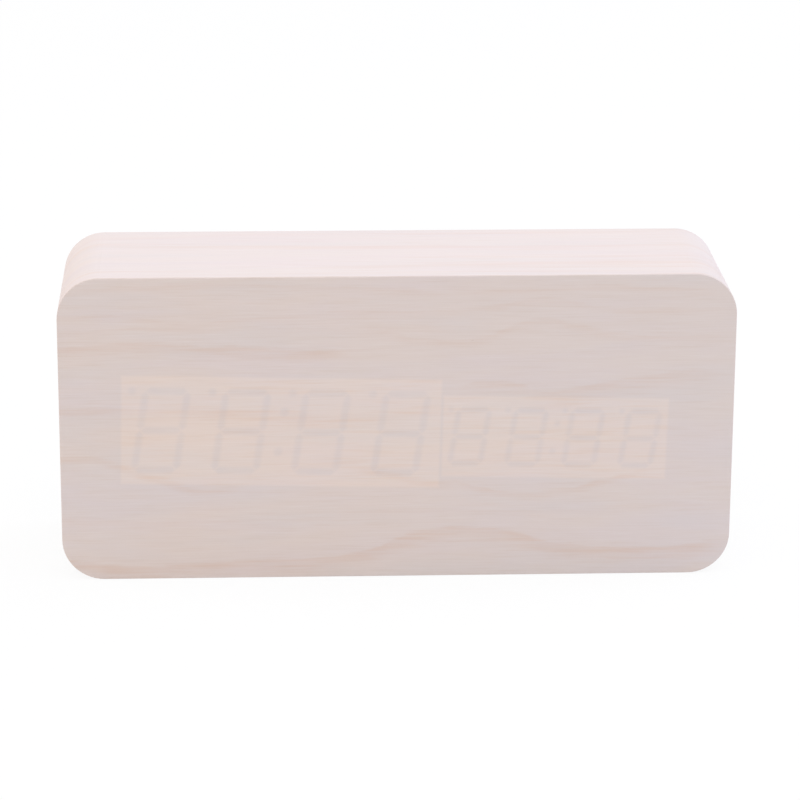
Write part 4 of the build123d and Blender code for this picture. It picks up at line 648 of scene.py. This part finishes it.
# Rear panel screws, with a real cross recess and thread in place of the plain solids
def rear_screw_tree():
    """Geometry nodes that turn one pan-head screw and set it at the four corners of a rectangle."""
    tree = bpy.data.node_groups.new("rear_screw_set", "GeometryNodeTree")
    tree.interface.new_socket("Screws", in_out="OUTPUT", socket_type="NodeSocketGeometry")
    for name in ("Across", "Up", "Head radius", "Head height", "Shank radius", "Shank length"):
        tree.interface.new_socket(name, in_out="INPUT", socket_type="NodeSocketFloat")
    tree.interface.new_socket("Centre", in_out="INPUT", socket_type="NodeSocketVector")
    tree.interface.new_socket("Finish", in_out="INPUT", socket_type="NodeSocketMaterial")
    given = add(tree, "NodeGroupInput").node.outputs

    # Head: a circle drawn along the axis, its size falling away towards the top
    head_top = add(tree, "ShaderNodeCombineXYZ", {"Z": given["Head height"]})
    head_axis = add(tree, "GeometryNodeCurvePrimitiveLine", {"End": head_top})
    head_line = add(tree, "GeometryNodeResampleCurve", {"Curve": head_axis, "Count": 14})
    passed = add(tree, "GeometryNodeSplineParameter")
    dome = add(tree, "ShaderNodeFloatCurve", {"Value": passed})
    dome_points = dome.node.mapping.curves[0].points
    dome_points[0].location = (0, 1)
    dome_points[1].location = (1, 0.66)
    for point in ((0.5, 1.0), (0.78, 0.95), (0.93, 0.82)):
        dome_points.new(*point)
    dome.node.mapping.update()
    head_circle = {"Resolution": 40, "Radius": given["Head radius"]}
    head_ring = add(tree, "GeometryNodeCurvePrimitiveCircle", head_circle)
    head_sweep = {"Curve": head_line, "Profile Curve": head_ring, "Scale": dome, "Fill Caps": True}
    head = add(tree, "GeometryNodeCurveToMesh", head_sweep)

    # Cross recess: two wedges that narrow from the mouth to the floor, and mark what they cut for painted
    # shade
    deep_share, floor_share, mouth_share, tip_share, narrow = 0.9, 0.15, 0.82, 0.22, 0.27
    deep = add(tree, "ShaderNodeMath", {0: given["Head height"], 1: deep_share}, operation="MULTIPLY")
    floor_level = add(tree, "ShaderNodeMath", {0: given["Head height"], 1: floor_share}, operation="MULTIPLY")
    floor_place = add(tree, "ShaderNodeCombineXYZ", {"Z": floor_level})
    mouth = add(tree, "ShaderNodeMath", {0: given["Head radius"], 1: mouth_share}, operation="MULTIPLY")
    tip = add(tree, "ShaderNodeMath", {0: given["Head radius"], 1: tip_share}, operation="MULTIPLY")
    wedge_sizes = {"Vertices": 4, "Radius Top": mouth, "Radius Bottom": tip, "Depth": deep}
    wedge = add(tree, "GeometryNodeMeshCone", wedge_sizes)
    mark = {"Geometry": wedge, "Name": "recess", "Value": 1.0}
    marked = add(tree, "GeometryNodeStoreNamedAttribute", mark, data_type="FLOAT", domain="FACE")
    squared = add(tree, "GeometryNodeTransform", {"Geometry": marked, "Rotation": (0, 0, math.radians(45))})
    cuts = []
    for scale in ((1, narrow, 1), (narrow, 1, 1)):
        cut = {"Geometry": squared, "Translation": floor_place, "Scale": scale}
        cuts.append(add(tree, "GeometryNodeTransform", cut))
    cross = {"Mesh 1": head, "Mesh 2": cuts}
    cut_head = add(tree, "GeometryNodeMeshBoolean", cross, operation="DIFFERENCE")

    # Shank with a pointed end, and a thread wound round it
    depth = add(tree, "ShaderNodeMath", {0: given["Shank length"], 1: -1.0}, operation="MULTIPLY")
    shank_end = add(tree, "ShaderNodeCombineXYZ", {"Z": depth})
    shank_axis = add(tree, "GeometryNodeCurvePrimitiveLine", {"End": shank_end})
    shank_line = add(tree, "GeometryNodeResampleCurve", {"Curve": shank_axis, "Count": 16})
    point = {"Value": passed, "From Min": 0.82, "From Max": 1.0, "To Min": 0.86, "To Max": 0.3}
    taper = add(tree, "ShaderNodeMapRange", point)
    shank_circle = {"Resolution": 24, "Radius": given["Shank radius"]}
    shank_ring = add(tree, "GeometryNodeCurvePrimitiveCircle", shank_circle)
    shank_sweep = {"Curve": shank_line, "Profile Curve": shank_ring, "Scale": taper, "Fill Caps": True}
    shank = add(tree, "GeometryNodeCurveToMesh", shank_sweep)
    core_share, wound_share, ridge_share, thread_turns = 0.88, 0.8, 0.12, 8.0
    core = add(tree, "ShaderNodeMath", {0: given["Shank radius"], 1: core_share}, operation="MULTIPLY")
    wound = add(tree, "ShaderNodeMath", {0: depth, 1: wound_share}, operation="MULTIPLY")
    turns = {"Resolution": 20, "Rotations": thread_turns, "Start Radius": core, "End Radius": core}
    helix = add(tree, "GeometryNodeCurveSpiral", turns | {"Height": wound})
    ridge = add(tree, "ShaderNodeMath", {0: given["Shank radius"], 1: ridge_share}, operation="MULTIPLY")
    ridge_ring = add(tree, "GeometryNodeCurvePrimitiveCircle", {"Resolution": 4, "Radius": ridge})
    thread_sweep = {"Curve": helix, "Profile Curve": ridge_ring, "Fill Caps": True}
    thread = add(tree, "GeometryNodeCurveToMesh", thread_sweep)
    screw = add(tree, "GeometryNodeJoinGeometry", {0: [cut_head, shank, thread]})

    # Four places, each screw driven to a different turn
    corners = {"Size X": given["Across"], "Size Y": given["Up"], "Vertices X": 2, "Vertices Y": 2}
    grid = add(tree, "GeometryNodeMeshGrid", corners)
    upright = {"Geometry": grid, "Translation": given["Centre"], "Rotation": (math.radians(90), 0, 0)}
    places = add(tree, "GeometryNodeTransform", upright)
    spin = add(tree, "FunctionNodeRandomValue", {2: 0.0, 3: math.tau, "Seed": 7}, out=1)
    driven = add(tree, "ShaderNodeCombineXYZ", {"X": math.radians(-90)})
    screw_set = {"Points": places, "Instance": screw, "Rotation": driven}
    set_out = add(tree, "GeometryNodeInstanceOnPoints", screw_set)
    turn = add(tree, "ShaderNodeCombineXYZ", {"Z": spin})
    own_turn = {"Instances": set_out, "Rotation": turn, "Local Space": True}
    turned = add(tree, "GeometryNodeRotateInstances", own_turn)
    real = add(tree, "GeometryNodeRealizeInstances", {"Geometry": turned})
    finished = add(tree, "GeometryNodeSetMaterial", {"Geometry": real, "Material": given["Finish"]})
    add(tree, "NodeGroupOutput", {"Screws": finished})
    return tree


def plain_mesh(name, tree, values):
    """Runs a tree with its named inputs and gives the result as an ordinary mesh object."""
    crease_angle = math.radians(35)
    maker = bpy.data.objects.new(name, bpy.data.meshes.new(name))
    bpy.context.scene.collection.objects.link(maker)
    modifier = maker.modifiers.new(name, "NODES")
    modifier.node_group = tree
    for item in tree.interface.items_tree:
        if item.in_out == "INPUT":
            modifier[item.identifier] = values[item.name]
    shaped = maker.evaluated_get(bpy.context.evaluated_depsgraph_get())
    mesh = bpy.data.meshes.new_from_object(shaped)
    maker.modifiers.remove(modifier)
    maker.data = mesh
    mesh.shade_smooth()
    mesh.set_sharp_from_angle(angle=crease_angle)
    return maker


screws_low, screws_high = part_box("rear_panel_screws")
head_radius = 2.6 * mm
head_height = 1.5 * mm
head_seat = screws_high.y - head_height
rear_screws = plain_mesh(
    "rear_screws",
    rear_screw_tree(),
    {
        "Across": screws_high.x - screws_low.x - 2 * head_radius,
        "Up": screws_high.z - screws_low.z - 2 * head_radius,
        "Head radius": head_radius,
        "Head height": head_height,
        "Shank radius": 1.2 * mm,
        "Shank length": head_seat - screws_low.y,
        "Centre": (0.0, head_seat, (screws_low.z + screws_high.z) / 2),
        "Finish": zinc,
    },
)
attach(rear_screws, "case")
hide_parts("rear_panel_screws")


# Studio: a white floor, a white surround, one wide soft lamp overhead and a small fill at each end
def light_white_to_the_eye(node):
    """1 for rays from the camera and those seen in gloss or through glass, 0 for the rest."""
    path = node("ShaderNodeLightPath").node.outputs
    seen = node("ShaderNodeMath", {0: path["Is Camera Ray"], 1: path["Is Glossy Ray"]}, operation="MAXIMUM")
    return node("ShaderNodeMath", {0: seen, 1: path["Is Transmission Ray"]}, operation="MAXIMUM")


surround_strength = 0.65
studio = bpy.data.worlds.new("studio")
studio.use_nodes = True
studio.node_tree.nodes.clear()
node = partial(add, studio.node_tree)
seen = light_white_to_the_eye(node)
strength = node("ShaderNodeMapRange", {0: seen, 1: 0.0, 2: 1.0, 3: surround_strength, 4: 1.0})
surround = node("ShaderNodeBackground", {"Color": (1, 1, 1, 1), "Strength": strength})
node("ShaderNodeOutputWorld", {"Surface": surround})
bpy.context.scene.world = studio

floor_mesh = bpy.data.meshes.new("floor")
floor_side = 3.0
floor_drop = -0.05 * mm
floor_ends = ((-1, -1), (1, -1), (1, 1), (-1, 1))
floor_corners = [(x * floor_side, y * floor_side, floor_drop) for x, y in floor_ends]
floor_mesh.from_pydata(floor_corners, [], [(0, 1, 2, 3)])
floor = bpy.data.objects.new("floor", floor_mesh)
bpy.context.scene.collection.objects.link(floor)
floor_paper, node, _ = new_material("white_paper_floor")
paper = node("ShaderNodeBsdfDiffuse", {"Color": linear("FAFAFA")})
white = node("ShaderNodeEmission", {"Color": (1, 1, 1, 1), "Strength": 1.0})
floor_whiteness = 0.9
seen = light_white_to_the_eye(node)
white_share = node("ShaderNodeMath", {0: seen, 1: floor_whiteness}, operation="MULTIPLY")
paper_seen = node("ShaderNodeMixShader", {0: white_share, 1: paper, 2: white})
node("ShaderNodeOutputMaterial", {"Surface": paper_seen})
floor_mesh.materials.append(floor_paper)

for name, place, sides, watts, tint in (
    ("overhead_soft_box", (0.2, -0.3, 2.0), (2.8, 1.6), 23.4, "F2F6FF"),
    ("left_fill", (-1.2, 0.3, 0.5), (0.6, 0.6), 2.5, "FFDDC0"),
    ("right_fill", (1.2, 0.4, 0.5), (0.6, 0.6), 3.2, "C6D2FF"),
):
    soft_box = bpy.data.lights.new(name, "AREA")
    soft_box.shape = "RECTANGLE"
    soft_box.size, soft_box.size_y = sides
    soft_box.energy = watts
    soft_box.color = linear(tint)[:3]
    lamp = bpy.data.objects.new(name, soft_box)
    lamp.location = place
    lamp.rotation_euler = (-Vector(place)).to_track_quat("-Z", "Y").to_euler()
    bpy.context.scene.collection.objects.link(lamp)

# Camera: a long lens, a little left of the middle and 17.5 degrees up
azimuth = math.radians(-2.753)
elevation = math.radians(17.529)
roll = math.radians(0.307)
target = Vector((1.423, 0, 35.25)) * mm
distance = 783.97 * mm
back_across = math.sin(azimuth) * math.cos(elevation)
back_along = -math.cos(azimuth) * math.cos(elevation)
back = Vector((back_across, back_along, math.sin(elevation)))
level_right = Vector((math.cos(azimuth), math.sin(azimuth), 0))
level_up = back.cross(level_right)
right = level_right * math.cos(roll) + level_up * math.sin(roll)
up = level_up * math.cos(roll) - level_right * math.sin(roll)
lens = bpy.data.cameras.new("camera")
lens.sensor_width = 36
lens.lens = 154.79
camera = bpy.data.objects.new("camera", lens)
turn = Matrix((right, up, back)).transposed().to_4x4()
camera.matrix_world = Matrix.Translation(target + back * distance) @ turn
bpy.context.scene.collection.objects.link(camera)
bpy.context.scene.camera = camera
bpy.context.scene.view_settings.view_transform = "Standard"
